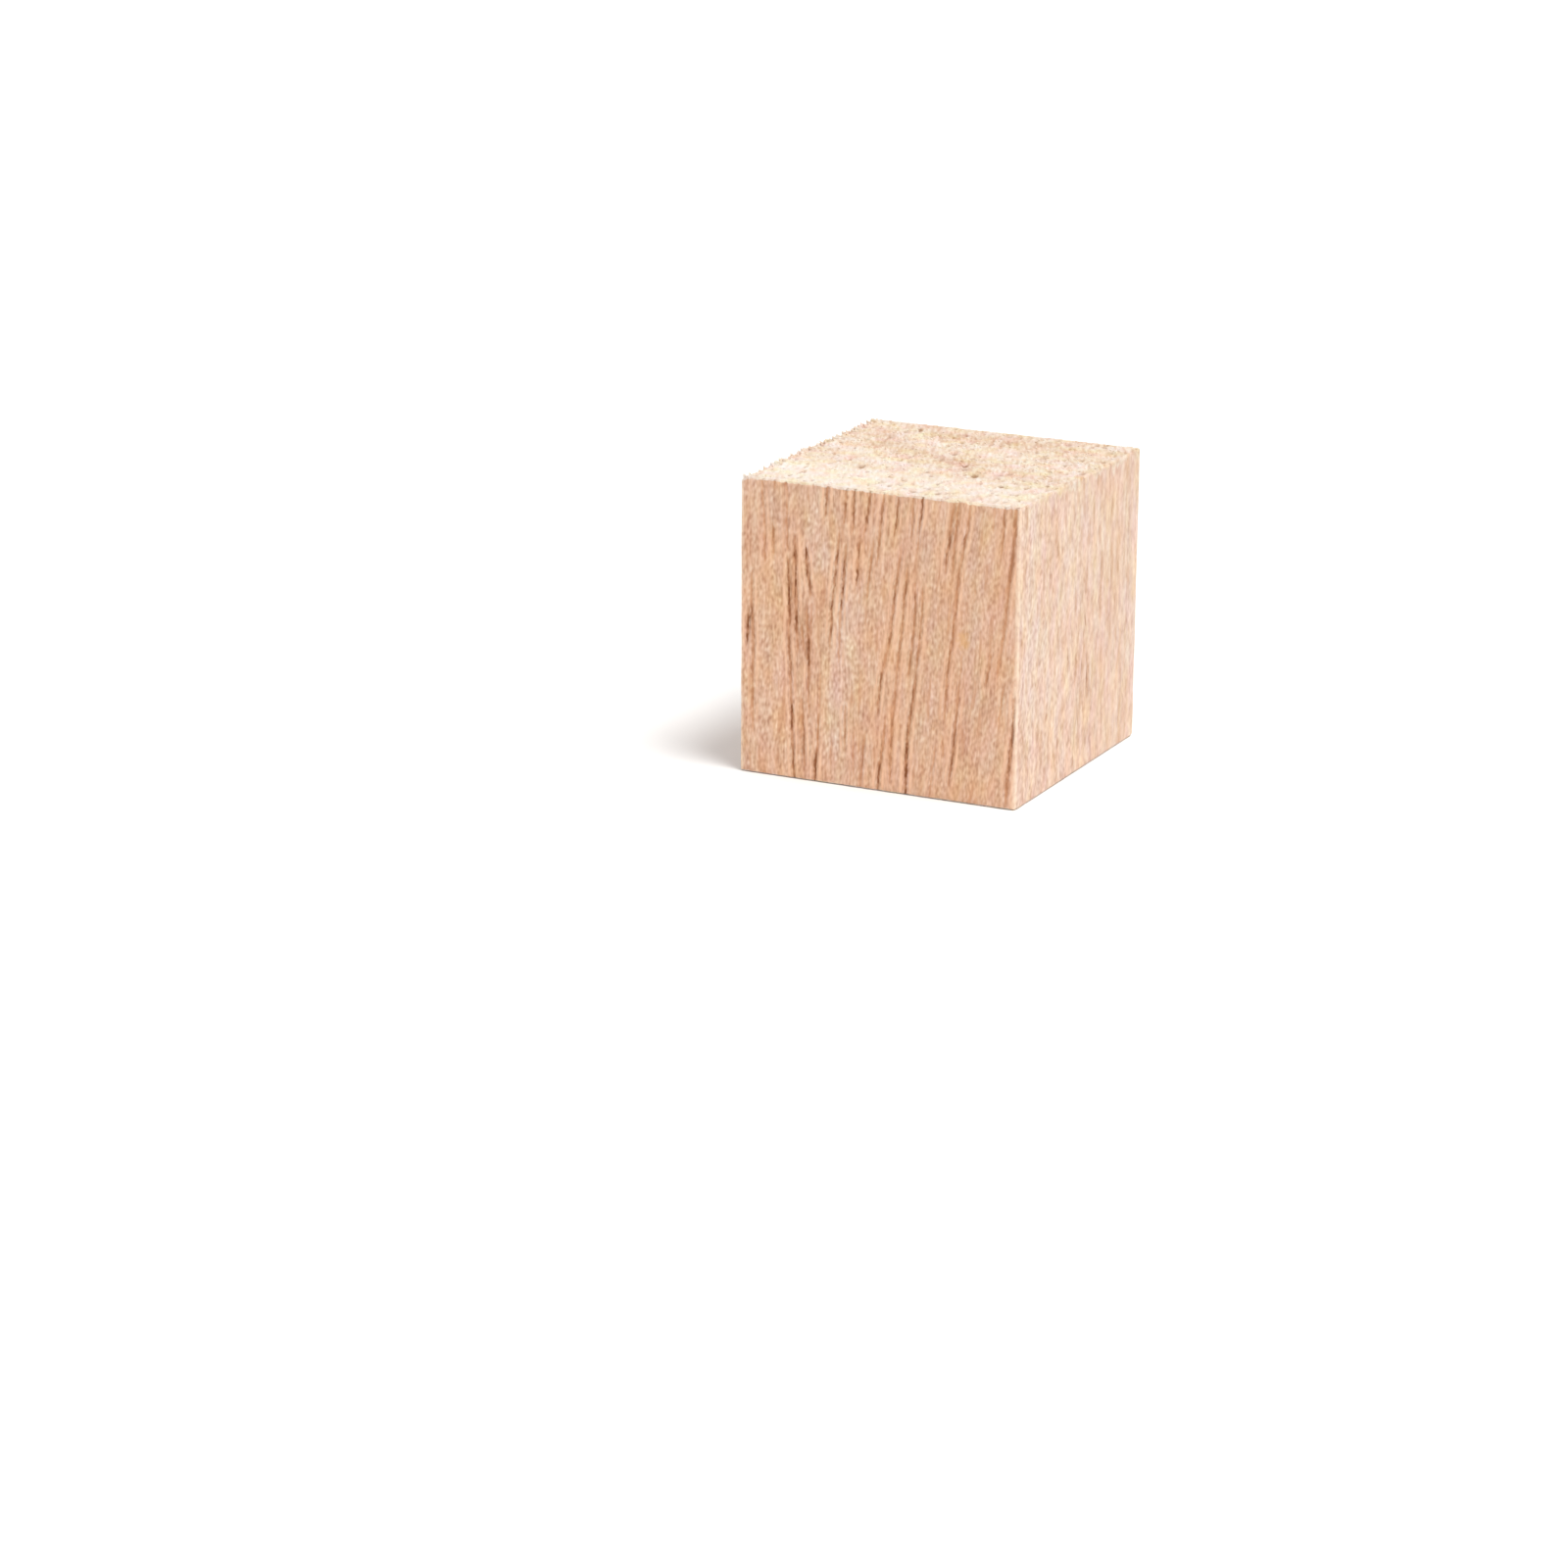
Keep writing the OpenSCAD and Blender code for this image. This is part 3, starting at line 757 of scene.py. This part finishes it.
for k in range(4):
    m = (k + 1) % 4
    faces.append(np.stack([lc[:, k], lc[:, m], R4[:, m], R4[:, k]], 1))
    face_uv.append(np.stack([uv_corner[is_long][:, k], uv_corner[is_long][:, m], uv_ring[is_long][:, m], uv_ring[is_long][:, k]], 1))
    faces.append(np.stack([R4[:, k], R4[:, m], T1[is_long]], 1))
    face_uv.append(np.stack([uv_ring[is_long][:, k], uv_ring[is_long][:, m], uv_mid[is_long]], 1))
    faces.append(np.stack([sc_[:, k], sc_[:, m], T1[~is_long]], 1))
    face_uv.append(np.stack([uv_corner[~is_long][:, k], uv_corner[~is_long][:, m], uv_mid[~is_long]], 1))
# the strip between the band's last row and the top's border
P = np.concatenate(verts)
outer, inner_ring = grid[-1], ring_of(tg)
t = zipper(outer, inner_ring, P[outer][:, :2], P[inner_ring][:, :2], True, "top")
faces.append(t)
face_uv.append(end_uv("top", P[t][..., 0], P[t][..., 1]))

# ---- the bottom: the same sawn end grain, pressed flatter by what it stands on
inset = R_BOTTOM + 0.07
bx = np.linspace(XL + inset + 0.03, XR - inset - 0.03, BOTTOM_N + 1)
by = np.linspace(YF + inset + 0.03, YB - inset - 0.03, BOTTOM_N + 1)
BX, BY = np.meshgrid(bx, by)
inner = np.zeros(BX.shape, bool)
inner[1:-1, 1:-1] = True
cell = bx[1] - bx[0]
BX = BX + np.where(inner, rng.uniform(-0.2, 0.2, BX.shape) * cell, 0)
BY = BY + np.where(inner, rng.uniform(-0.2, 0.2, BY.shape) * cell, 0)
centres, radii, strengths = end_pores(SEED + 8, 760)
b_near, b_dark, b_line, b_wide = pore_dots(BX, BY, centres, radii * 1.15, strengths)
pit = smooth(0.12, -0.06, b_near)
rough = 0.5 + 0.5 * np.clip(
    0.5 * noise(BX * 0.5, BY * 1.4, 0, 101) + 0.6 * noise(BX * 2.6, BY * 3.4, 0, 102), -1, 1
)
BZ = 0.0 + 0.085 * rough + 0.16 * pit * b_dark
b_tone = np.clip(0.2 - fbm(BX * 0.22, BY * 0.22, 0, 103, 3), -1, 1)
bottom = add_points(BX, BY, BZ, pore=b_near, dark=b_dark, line=b_line, wide=b_wide, end=2.0, tone=b_tone, rnd=0.5 + 0.5 * noise(BX * 5, BY * 5, 0, 104))
bg = bottom + np.arange(BX.size).reshape(BX.shape)
q = np.stack([bg[:-1, :-1], bg[1:, :-1], bg[1:, 1:], bg[:-1, 1:]], -1).reshape(-1, 4)
P = np.concatenate(verts)
faces.append(q)
face_uv.append(end_uv("bottom", P[q][..., 0], P[q][..., 1]))
outer, inner_ring = grid[0], ring_of(bg)
t = zipper(outer, inner_ring, P[outer][:, :2], P[inner_ring][:, :2], False, "bottom")
faces.append(t)
face_uv.append(end_uv("bottom", P[t][..., 0], P[t][..., 1]))

# ------------------------------------------------------------------ into Blender
P = np.concatenate(verts)
P[:, 0] = np.clip(P[:, 0], -12.498, 12.498)
P[:, 1] = np.clip(P[:, 1], -12.498, 12.498)
P[:, 2] = np.clip(P[:, 2], 0.0, 24.998)
mesh = bpy.data.meshes.new("wooden_cube")
polys = [list(map(int, f)) for block in faces for f in block]
mesh.from_pydata((P / 1000).tolist(), [], polys)
uv_layer = mesh.uv_layers.new(name="OFBake")
uv_layer.uv.foreach_set("vector", np.concatenate([u.reshape(-1, 2) for u in face_uv]).astype(np.float32).ravel())
for k, parts in point.items():
    a = mesh.attributes.new("wood_" + k, "FLOAT", "POINT")
    a.data.foreach_set("value", np.concatenate(parts).astype(np.float32))
# the sawn ends keep crisp facets, the planed sides are smooth
blocks = np.concatenate([np.full(len(f), k) for k, f in enumerate(faces)])
mesh.polygons.foreach_set("use_smooth", blocks < 4)
mesh.update()
cube = bpy.data.objects.new("wooden_cube_surface", mesh)
bpy.context.scene.collection.objects.link(cube)
print("TRIANGLES", sum(len(p) - 2 for p in polys), "VERTS", len(P), "TUFTS", n_t)

# ------------------------------------------------------------------ the wood
mat = bpy.data.materials.new("bare_wood")
mat.use_nodes = True
nt = mat.node_tree
nt.nodes.clear()


class Graph:
    def __init__(self, tree):
        self.t = tree

    def node(self, kind, **props):
        n = self.t.nodes.new(kind)
        for k, v in props.items():
            setattr(n, k, v)
        return n

    def put(self, socket, value):
        if isinstance(value, bpy.types.NodeSocket):
            self.t.links.new(value, socket)
        else:
            socket.default_value = value

    def math(self, op, a, b=0.0, c=0.0, clamp=False):
        n = self.node("ShaderNodeMath", operation=op, use_clamp=clamp)
        for s, v in zip(n.inputs, (a, b, c)):
            self.put(s, v)
        return n.outputs[0]

    def vmath(self, op, a, b=(0, 0, 0), scale=None):
        n = self.node("ShaderNodeVectorMath", operation=op)
        self.put(n.inputs[0], a)
        if scale is not None:
            self.put(n.inputs["Scale"], scale)
        else:
            self.put(n.inputs[1], b)
        return n.outputs[0]

    def remap(self, v, a, b, c=0.0, d=1.0, smoothly=False):
        n = self.node("ShaderNodeMapRange", interpolation_type="SMOOTHSTEP" if smoothly else "LINEAR")
        for s, x in zip(n.inputs, (v, a, b, c, d)):
            self.put(s, x)
        return n.outputs[0]

    def noise(self, vec, scale=1.0, detail=2.0, rough=0.5, distort=0.0):
        n = self.node("ShaderNodeTexNoise", noise_dimensions="3D")
        self.put(n.inputs["Vector"], vec)
        n.inputs["Scale"].default_value = scale
        n.inputs["Detail"].default_value = detail
        n.inputs["Roughness"].default_value = rough
        n.inputs["Distortion"].default_value = distort
        return n.outputs["Fac"]

    def mix(self, f, a, b, mode="MIX"):
        n = self.node("ShaderNodeMix", data_type="RGBA", blend_type=mode)
        self.put(n.inputs[0], f)
        for s, v in zip((n.inputs[6], n.inputs[7]), (a, b)):
            self.put(s, (*v, 1.0) if isinstance(v, tuple) and len(v) == 3 else v)
        return n.outputs[2]

    def attr(self, name):
        n = self.node("ShaderNodeAttribute", attribute_type="GEOMETRY", attribute_name=name)
        return n.outputs["Fac"]

    def ramp(self, f, stops):
        n = self.node("ShaderNodeValToRGB")
        self.put(n.inputs[0], f)
        e = n.color_ramp.elements
        e[0].position, e[0].color = stops[0][0], (*stops[0][1], 1)
        e[1].position, e[1].color = stops[-1][0], (*stops[-1][1], 1)
        for p, c in stops[1:-1]:
            x = e.new(p)
            x.color = (*c, 1)
        return n.outputs[0]


def srgb(r, g, b):
    return tuple((c / 255 / 12.92) if c / 255 <= 0.04045 else ((c / 255 + 0.055) / 1.055) ** 2.4 for c in (r, g, b))


g = Graph(nt)
coord = g.node("ShaderNodeTexCoord")
mm = g.vmath("SCALE", coord.outputs["Object"], scale=1000.0)
sep = g.node("ShaderNodeSeparateXYZ")
g.put(sep.inputs[0], mm)
# the grain's own frame: the lean of the lines taken out, and a slow wander put in
lean = g.math("MULTIPLY", g.remap(sep.outputs[0], -3.0, 6.0, 0.0, 0.10, True), g.math("SUBTRACT", sep.outputs[2], 12.5))
wander = g.math("MULTIPLY", g.math("SUBTRACT", g.noise(mm, 0.09, 1.0), 0.5), 0.9)
comb = g.node("ShaderNodeCombineXYZ")
g.put(comb.inputs[0], g.math("SUBTRACT", g.math("SUBTRACT", sep.outputs[0], lean), wander))
g.put(comb.inputs[1], g.math("ADD", sep.outputs[1], wander))
g.put(comb.inputs[2], sep.outputs[2])
gr = comb.outputs[0]


def askew(scale):
    """The place scaled and then turned off the axes, so that the noise's own grid doesn't line up with a face."""
    turned = g.node("ShaderNodeVectorRotate", rotation_type="EULER_XYZ")
    g.put(turned.inputs["Vector"], g.vmath("MULTIPLY", mm, scale))
    turned.inputs["Rotation"].default_value = (0.62, 0.47, 0.71)
    return turned.outputs[0]


def stretched(sx, sz, detail=2.0, rough=0.5, distort=0.0):
    return g.noise(g.vmath("MULTIPLY", gr, (sx, sx, sz)), 1.0, detail, rough, distort)


pore, darkness, end = g.attr("wood_pore"), g.attr("wood_dark"), g.attr("wood_end")
line, wide = g.attr("wood_line"), g.attr("wood_wide")
tone, tuft, rnd, edge = g.attr("wood_tone"), g.attr("wood_tuft"), g.attr("wood_rnd"), g.attr("wood_edge")
warm = g.attr("wood_warm")

bands = stretched(0.55, 0.05, 2.0)  # broad soft bands with the grain
streak = stretched(2.6, 0.14, 2.0, 0.55)  # fine streaks
hair = stretched(6.5, 0.5, 1.0, 0.5)  # hair-fine streaks
# short flecks: slanting on the planed faces, rounder where the pebbled figure shows
slant = g.node("ShaderNodeCombineXYZ")
sg = g.node("ShaderNodeSeparateXYZ")
g.put(sg.inputs[0], gr)
g.put(slant.inputs[0], g.math("SUBTRACT", g.math("MULTIPLY", sg.outputs[0], 3.5), g.math("MULTIPLY", sg.outputs[2], 1.0)))
g.put(slant.inputs[1], g.math("SUBTRACT", g.math("MULTIPLY", sg.outputs[1], 3.5), g.math("MULTIPLY", sg.outputs[2], 1.0)))
g.put(slant.inputs[2], g.math("MULTIPLY", sg.outputs[2], 2.1))
fleck = g.noise(slant.outputs[0], 1.0, 0.0, 0.5)
pebble = g.noise(askew((1.7, 1.7, 0.72)), 1.0, 0.8, 0.5)
dust = g.noise(askew((5.0, 3.1, 2.3)), 1.0, 0.0, 0.5)
pale = g.remap(tone, -1.0, 0.55)
speck = g.math("ADD", g.math("MULTIPLY", fleck, g.math("SUBTRACT", 1.0, pale)), g.math("MULTIPLY", pebble, pale))

# ---- planed sides
f = g.math("MULTIPLY_ADD", g.math("SUBTRACT", bands, 0.5), g.remap(pale, 0.0, 1.0, 0.26, 0.30), 0.5)
f = g.math("MULTIPLY_ADD", g.math("SUBTRACT", streak, 0.5), g.remap(pale, 0.0, 1.0, 0.42, 0.46), f)
f = g.math("MULTIPLY_ADD", g.math("SUBTRACT", hair, 0.5), g.remap(pale, 0.0, 1.0, 0.48, 0.20), f)
# the flecks are stronger in the left half of the front
fleck_k = g.remap(g.math("ADD", sep.outputs[0], g.math("MULTIPLY", bands, 12.0)), 2.0, 10.0, 0.58, 0.40, True)
f = g.math("MULTIPLY_ADD", g.math("SUBTRACT", speck, 0.5), g.math("MULTIPLY_ADD", g.math("SUBTRACT", 0.70, fleck_k), pale, fleck_k), f)
# on the paler sides the dust is stronger towards the front of the block
dust_k = g.math("MULTIPLY_ADD", g.math("SUBTRACT", g.remap(sep.outputs[1], -12.0, 6.0, 0.84, 0.37), 0.64), pale, 0.64)
f = g.math("MULTIPLY_ADD", g.math("SUBTRACT", dust, 0.5), dust_k, f)
rosy = g.ramp(f, [(0.0, srgb(176, 125, 97)), (0.25, srgb(196, 150, 121)), (0.5, srgb(215, 173, 144)), (0.75, srgb(229, 193, 165)), (1.0, srgb(242, 212, 188))])
cream = g.ramp(f, [(0.0, srgb(182, 144, 122)), (0.25, srgb(200, 167, 146)), (0.5, srgb(216, 188, 168)), (0.75, srgb(227, 203, 184)), (1.0, srgb(238, 219, 202))])
side = g.mix(pale, rosy, cream)
# the broad patches, and two drifts of hue, one from blue to yellow and one from green to pink
side = g.mix(g.remap(warm, 0.0, 1.5, 0.0, 1.0), side, (1.0, 0.885, 0.79), "MULTIPLY")
side = g.mix(g.remap(warm, 0.0, -1.5, 0.0, 1.0), side, (1.03, 1.14, 1.24), "MULTIPLY")
hue = g.noise(g.vmath("MULTIPLY", gr, (0.9, 0.9, 0.30)), 1.0, 1.5, 0.5)
side = g.mix(g.remap(hue, 0.5, 0.72, 0.0, 1.0), side, (1.02, 1.0, 0.89), "MULTIPLY")
side = g.mix(g.remap(hue, 0.5, 0.28, 0.0, 1.0), side, (0.985, 1.005, 1.09), "MULTIPLY")
hue = g.noise(g.vmath("ADD", g.vmath("MULTIPLY", gr, (0.8, 0.8, 0.28)), (31.0, 17.0, 5.0)), 1.0, 1.5, 0.5)
side = g.mix(g.remap(hue, 0.5, 0.72, 0.0, 1.0), side, (1.02, 0.965, 0.985), "MULTIPLY")
side = g.mix(g.remap(hue, 0.5, 0.28, 0.0, 1.0), side, (0.98, 1.025, 1.0), "MULTIPLY")
# brown flecks where the pebbled figure shows
brown = g.noise(g.vmath("ADD", askew((1.15, 1.15, 0.42)), (7.0, 3.0, 11.0)), 1.0, 1.5, 0.5)
side = g.mix(g.math("MULTIPLY", g.remap(brown, 0.57, 0.70, 0.0, 0.42, True), pale), side, srgb(200, 160, 132))
# faint short pores everywhere, where a stretched noise dips
faint = g.remap(stretched(2.3, 0.24, 1.0), 0.40, 0.28, 0.0, 1.0, True)
side = g.mix(g.math("MULTIPLY", faint, g.remap(pale, 0.0, 1.0, 0.50, 0.22)), side, g.mix(pale, srgb(202, 148, 112), srgb(208, 168, 138)))
# the pore lines: each wanders a little, and its width and darkness come and go; on the paler sides they are wide and
# soft. Their dark colour is the vessels' own brown with painted shade of the grooves in it.
wander = g.math("MULTIPLY", g.math("SUBTRACT", stretched(0.8, 1.0, 2.0, 0.7), 0.5), 0.22)
jag = g.math("MULTIPLY", g.math("SUBTRACT", stretched(4.5, 2.2, 2.0, 0.6), 0.5), 0.16)
across = g.math("ADD", line, wander)
p = g.math("ADD", g.math("SUBTRACT", g.math("ABSOLUTE", across), wide), jag)
p = g.math("MAXIMUM", p, g.math("SUBTRACT", pore, 0.09))
p_soft = g.math("ADD", pore, g.math("MULTIPLY", g.math("SUBTRACT", g.noise(mm, 1.3, 2.0, 0.6), 0.5), 0.5))
# pale lips to both sides of a line: partly the torn lips' own paleness, partly painted highlight on the groove edges
lip_highlight = g.math("MULTIPLY", g.remap(pore, 0.12, 0.26, 0.0, 1.0, True), g.remap(pore, 0.56, 0.32, 0.0, 1.0, True))
lip_highlight_soft = g.math("MULTIPLY", g.remap(pore, 0.34, 0.52, 0.0, 1.0, True), g.remap(pore, 0.88, 0.62, 0.0, 1.0, True))
lip_highlight = g.math("ADD", g.math("MULTIPLY", lip_highlight, g.math("SUBTRACT", 1.0, pale)), g.math("MULTIPLY", lip_highlight_soft, pale))
lip_highlight = g.math("MULTIPLY", g.math("MULTIPLY", lip_highlight, darkness), g.remap(stretched(1.2, 0.5, 1.0), 0.35, 0.6, 0.45, 1.0))
side = g.mix(g.math("MULTIPLY", lip_highlight, 0.85), side, g.mix(pale, srgb(241, 197, 164), srgb(234, 206, 180)))
broken = g.remap(stretched(3.0, 0.95, 2.0, 0.6), 0.36, 0.58, 0.52, 1.0)
core = g.math("MULTIPLY", g.remap(p, 0.10, -0.045, 0.0, 1.0, True), g.remap(pore, 0.24, 0.14))
core_soft = g.math("MULTIPLY", g.remap(p_soft, 0.31, 0.0, 0.0, 1.0, True), g.remap(pore, 0.6, 0.3))
core_soft = g.math("MAXIMUM", g.math("MULTIPLY", core_soft, 0.78), core)
core = g.math("ADD", g.math("MULTIPLY", core, g.math("SUBTRACT", 1.0, pale)), g.math("MULTIPLY", core_soft, pale))
core = g.math("MULTIPLY", g.math("MULTIPLY", core, broken), g.remap(darkness, 0.0, 1.0, 0.2, 1.0))
deep = g.math("MULTIPLY", darkness, g.remap(broken, 0.50, 1.0, 0.5, 1.0))
deep = g.math("MULTIPLY", deep, g.remap(core, 0.25, 0.9, 0.45, 1.0))
# pore line colour: the vessels' own brown with painted groove shade
side = g.mix(core, side, g.mix(pale, g.mix(deep, srgb(214, 148, 98), srgb(131, 76, 40)), g.mix(deep, srgb(205, 165, 136), srgb(156, 112, 82))))
# one small resin-yellow spot on the front
spot = g.vmath("MULTIPLY", g.vmath("SUBTRACT", mm, (7.6, -12.5, 13.5)), (1.5, 1.0, 1.2))
length = g.node("ShaderNodeVectorMath", operation="LENGTH")
g.put(length.inputs[0], spot)
spot = g.remap(g.math("ADD", length.outputs["Value"], g.math("MULTIPLY", speck, 0.9)), 1.6, 0.7, 0.0, 0.5, True)
side = g.mix(spot, side, srgb(224, 172, 112))
# painted highlight: the arrises are paler where their rounding catches the light
side = g.mix(g.math("MULTIPLY", edge, g.remap(g.noise(mm, 1.6, 2.0, 0.6), 0.35, 0.6, 0.35, 0.8)), side, srgb(244, 220, 196))

# ---- sawn ends
e1 = g.noise(g.vmath("MULTIPLY", mm, (1.3, 0.65, 1.3)), 1.0, 1.5, 0.5)
saw = g.node("ShaderNodeCombineXYZ")  # grains drawn out the way the saw went
g.put(saw.inputs[0], g.math("MULTIPLY", g.math("MULTIPLY_ADD", sep.outputs[1], 0.4, sep.outputs[0]), 3.9))
g.put(saw.inputs[1], g.math("MULTIPLY", sep.outputs[1], 0.95))
g.put(saw.inputs[2], g.math("MULTIPLY", sep.outputs[2], 2.0))
e2 = g.noise(saw.outputs[0], 1.0, 0.5, 0.5)
# over the sides' top edge the fibres are cream above the front and tan above the paler sides
on_side = g.remap(end, 1.0, 1.8, 1.0, 0.0)
body = g.math("MULTIPLY_ADD", on_side, g.math("SUBTRACT", g.remap(pale, 0.0, 1.0, 0.0, -0.45), tone), tone)
h = g.math("MULTIPLY_ADD", body, 0.19, 0.48)
h = g.math("MULTIPLY_ADD", g.math("SUBTRACT", e1, 0.5), 0.20, h)
cut_clean = g.remap(sep.outputs[1], -10.0, 0.0, 0.50, 0.70)
h = g.math("MULTIPLY_ADD", g.math("SUBTRACT", e2, 0.5), cut_clean, h)
h = g.math("MULTIPLY_ADD", g.math("SUBTRACT", rnd, 0.5), 0.10, h)
# tufts paler towards their tips: own paleness with a painted highlight
h = g.math("MULTIPLY_ADD", tuft, 0.08, h)
ends = g.ramp(h, [(0.0, srgb(186, 147, 119)), (0.25, srgb(211, 181, 156)), (0.5, srgb(226, 207, 188)), (0.75, srgb(234, 225, 212)), (1.0, srgb(238, 233, 225))])
hue = g.noise(mm, 0.6, 1.0, 0.5)
ends = g.mix(g.remap(hue, 0.5, 0.72, 0.0, 1.0), ends, (1.0, 1.0, 0.86), "MULTIPLY")
ends = g.mix(g.remap(hue, 0.5, 0.28, 0.0, 1.0), ends, (1.0, 1.005, 1.10), "MULTIPLY")
hue = g.noise(g.vmath("ADD", mm, (31.0, 17.0, 5.0)), 0.5, 1.0, 0.5)
ends = g.mix(g.remap(hue, 0.5, 0.72, 0.0, 1.0), ends, (1.03, 0.95, 0.97), "MULTIPLY")
ends = g.mix(g.remap(hue, 0.5, 0.28, 0.0, 1.0), ends, (0.985, 1.01, 0.995), "MULTIPLY")
# pits on the sawn ends: the vessels' own brown with painted shade in the hollows
pit_mask = g.math("MULTIPLY", g.remap(p, 0.11, -0.10, 0.0, 1.0, True), darkness)
ends = g.mix(g.math("MULTIPLY", pit_mask, 0.8), ends, srgb(152, 108, 76))

# the sawn end's fibres hang over the sides' top edge in a ragged fringe
ragged = g.math("MULTIPLY", g.math("SUBTRACT", stretched(2.4, 1.0, 2.0, 0.6), 0.5), g.remap(pale, 0.0, 1.0, 0.9, 1.6))
ragged = g.math("MULTIPLY_ADD", g.math("SUBTRACT", stretched(0.75, 0.4, 2.0, 0.5), 0.5), g.remap(pale, 0.0, 1.0, 0.8, 2.6), ragged)
end_mask = g.remap(g.math("ADD", end, ragged), 0.45, 0.75, 0.0, 1.0, True)
end_mask = g.math("MULTIPLY", end_mask, g.remap(end, 0.02, 0.2))
colour = g.mix(end_mask, side, ends)

# ---- relief finer than the mesh
lift = g.math("MULTIPLY", g.math("SUBTRACT", hair, 0.5), g.remap(pale, 0.0, 1.0, 0.5, 0.1))
lift = g.math("MULTIPLY_ADD", g.math("SUBTRACT", speck, 0.5), 0.9, lift)
lift = g.math("MULTIPLY_ADD", g.math("SUBTRACT", dust, 0.5), 0.5, lift)
lift = g.math("MULTIPLY_ADD", core, -1.2, lift)
lift = g.math("MULTIPLY_ADD", lip_highlight, 0.3, lift)
e3 = g.noise(g.vmath("MULTIPLY", mm, (1.0, 1.6, 1.0)), 7.0, 3.0, 0.65)
rough_lift = g.math("MULTIPLY", g.math("SUBTRACT", e3, 0.5), 1.1)
m = g.node("ShaderNodeMix", data_type="FLOAT")
g.put(m.inputs[0], end_mask)
g.put(m.inputs[2], lift)
g.put(m.inputs[3], rough_lift)
bump = g.node("ShaderNodeBump")
bump.inputs["Strength"].default_value = 1.0
bump.inputs["Distance"].default_value = 0.00006
g.put(bump.inputs["Height"], m.outputs[0])

rough = g.math("MULTIPLY_ADD", streak, 0.14, 0.66)
rough = g.math("MULTIPLY_ADD", end_mask, 0.12, rough, clamp=True)
pb = g.node("ShaderNodeBsdfPrincipled")
g.put(pb.inputs["Base Color"], colour)
g.put(pb.inputs["Roughness"], rough)
pb.inputs["Specular IOR Level"].default_value = 0.28
g.put(pb.inputs["Normal"], bump.outputs[0])
out = g.node("ShaderNodeOutputMaterial")
g.put(out.inputs[0], pb.outputs[0])
mesh.materials.append(mat)

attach(cube, "root")
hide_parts("wooden_cube")

# ------------------------------------------------------------------ floor, light and camera
floor_mat = bpy.data.materials.new("floor")
floor_mat.use_nodes = True
fb = floor_mat.node_tree.nodes["Principled BSDF"]
fb.inputs["Base Color"].default_value = (0.93, 0.93, 0.93, 1)
fb.inputs["Roughness"].default_value = 0.9
fb.inputs["Specular IOR Level"].default_value = 0.1
fm = bpy.data.meshes.new("floor")
fm.from_pydata([(-3, -3, 0), (3, -3, 0), (3, 3, 0), (-3, 3, 0)], [], [(0, 1, 2, 3)])
floor = bpy.data.objects.new("floor", fm)
fm.materials.append(floor_mat)
bpy.context.scene.collection.objects.link(floor)

# a round white studio: bright walls, a dimmer ceiling, and one broad lamp high up on the right
world = bpy.data.worlds.new("studio")
bpy.context.scene.world = world
world.use_nodes = True
w = Graph(world.node_tree)
where = w.node("ShaderNodeSeparateXYZ")
w.put(where.inputs[0], w.node("ShaderNodeTexCoord").outputs["Generated"])
background = world.node_tree.nodes["Background"]
w.put(background.inputs[0], w.mix(w.remap(where.outputs[2], 0.16, 0.5, 0.0, 1.0, True), (1.0, 1.0, 1.0), (0.62, 0.615, 0.61)))
background.inputs[1].default_value = 1.0

lamp = bpy.data.lights.new("lamp", "SUN")
lamp.energy = 2.25
lamp.angle = math.radians(24)
lamp.color = (1.0, 0.99, 0.975)
lamp_object = bpy.data.objects.new("lamp", lamp)
lamp_object.rotation_mode = "QUATERNION"
lamp_object.rotation_quaternion = Vector((-0.27, 0.07, -0.66)).to_track_quat("-Z", "Y")
bpy.context.scene.collection.objects.link(lamp_object)

scene = bpy.context.scene
scene.view_settings.view_transform = "Standard"
scene.view_settings.look = "None"
scene.view_settings.exposure = 0.0
scene.view_settings.gamma = 1.0

cam_data = bpy.data.cameras.new("camera")
cam = bpy.data.objects.new("camera", cam_data)
scene.collection.objects.link(cam)
scene.camera = cam
cam_data.sensor_width = 36.0
cam_data.clip_start, cam_data.clip_end = 0.01, 20
cam_data.lens = 4600 / 1600 * 36.0  # a long lens, about 0.38 m away
right, down, ahead = (0.89449, 0.447058, 0.005212), (0.133458, -0.255866, -0.957456), (-0.426705, 0.85713, -0.288533)
eye = (0.149412, -0.32904, 0.105993)
cam.matrix_world = Matrix(
    [(right[i], -down[i], -ahead[i], eye[i]) for i in range(3)] + [(0, 0, 0, 1)]
)
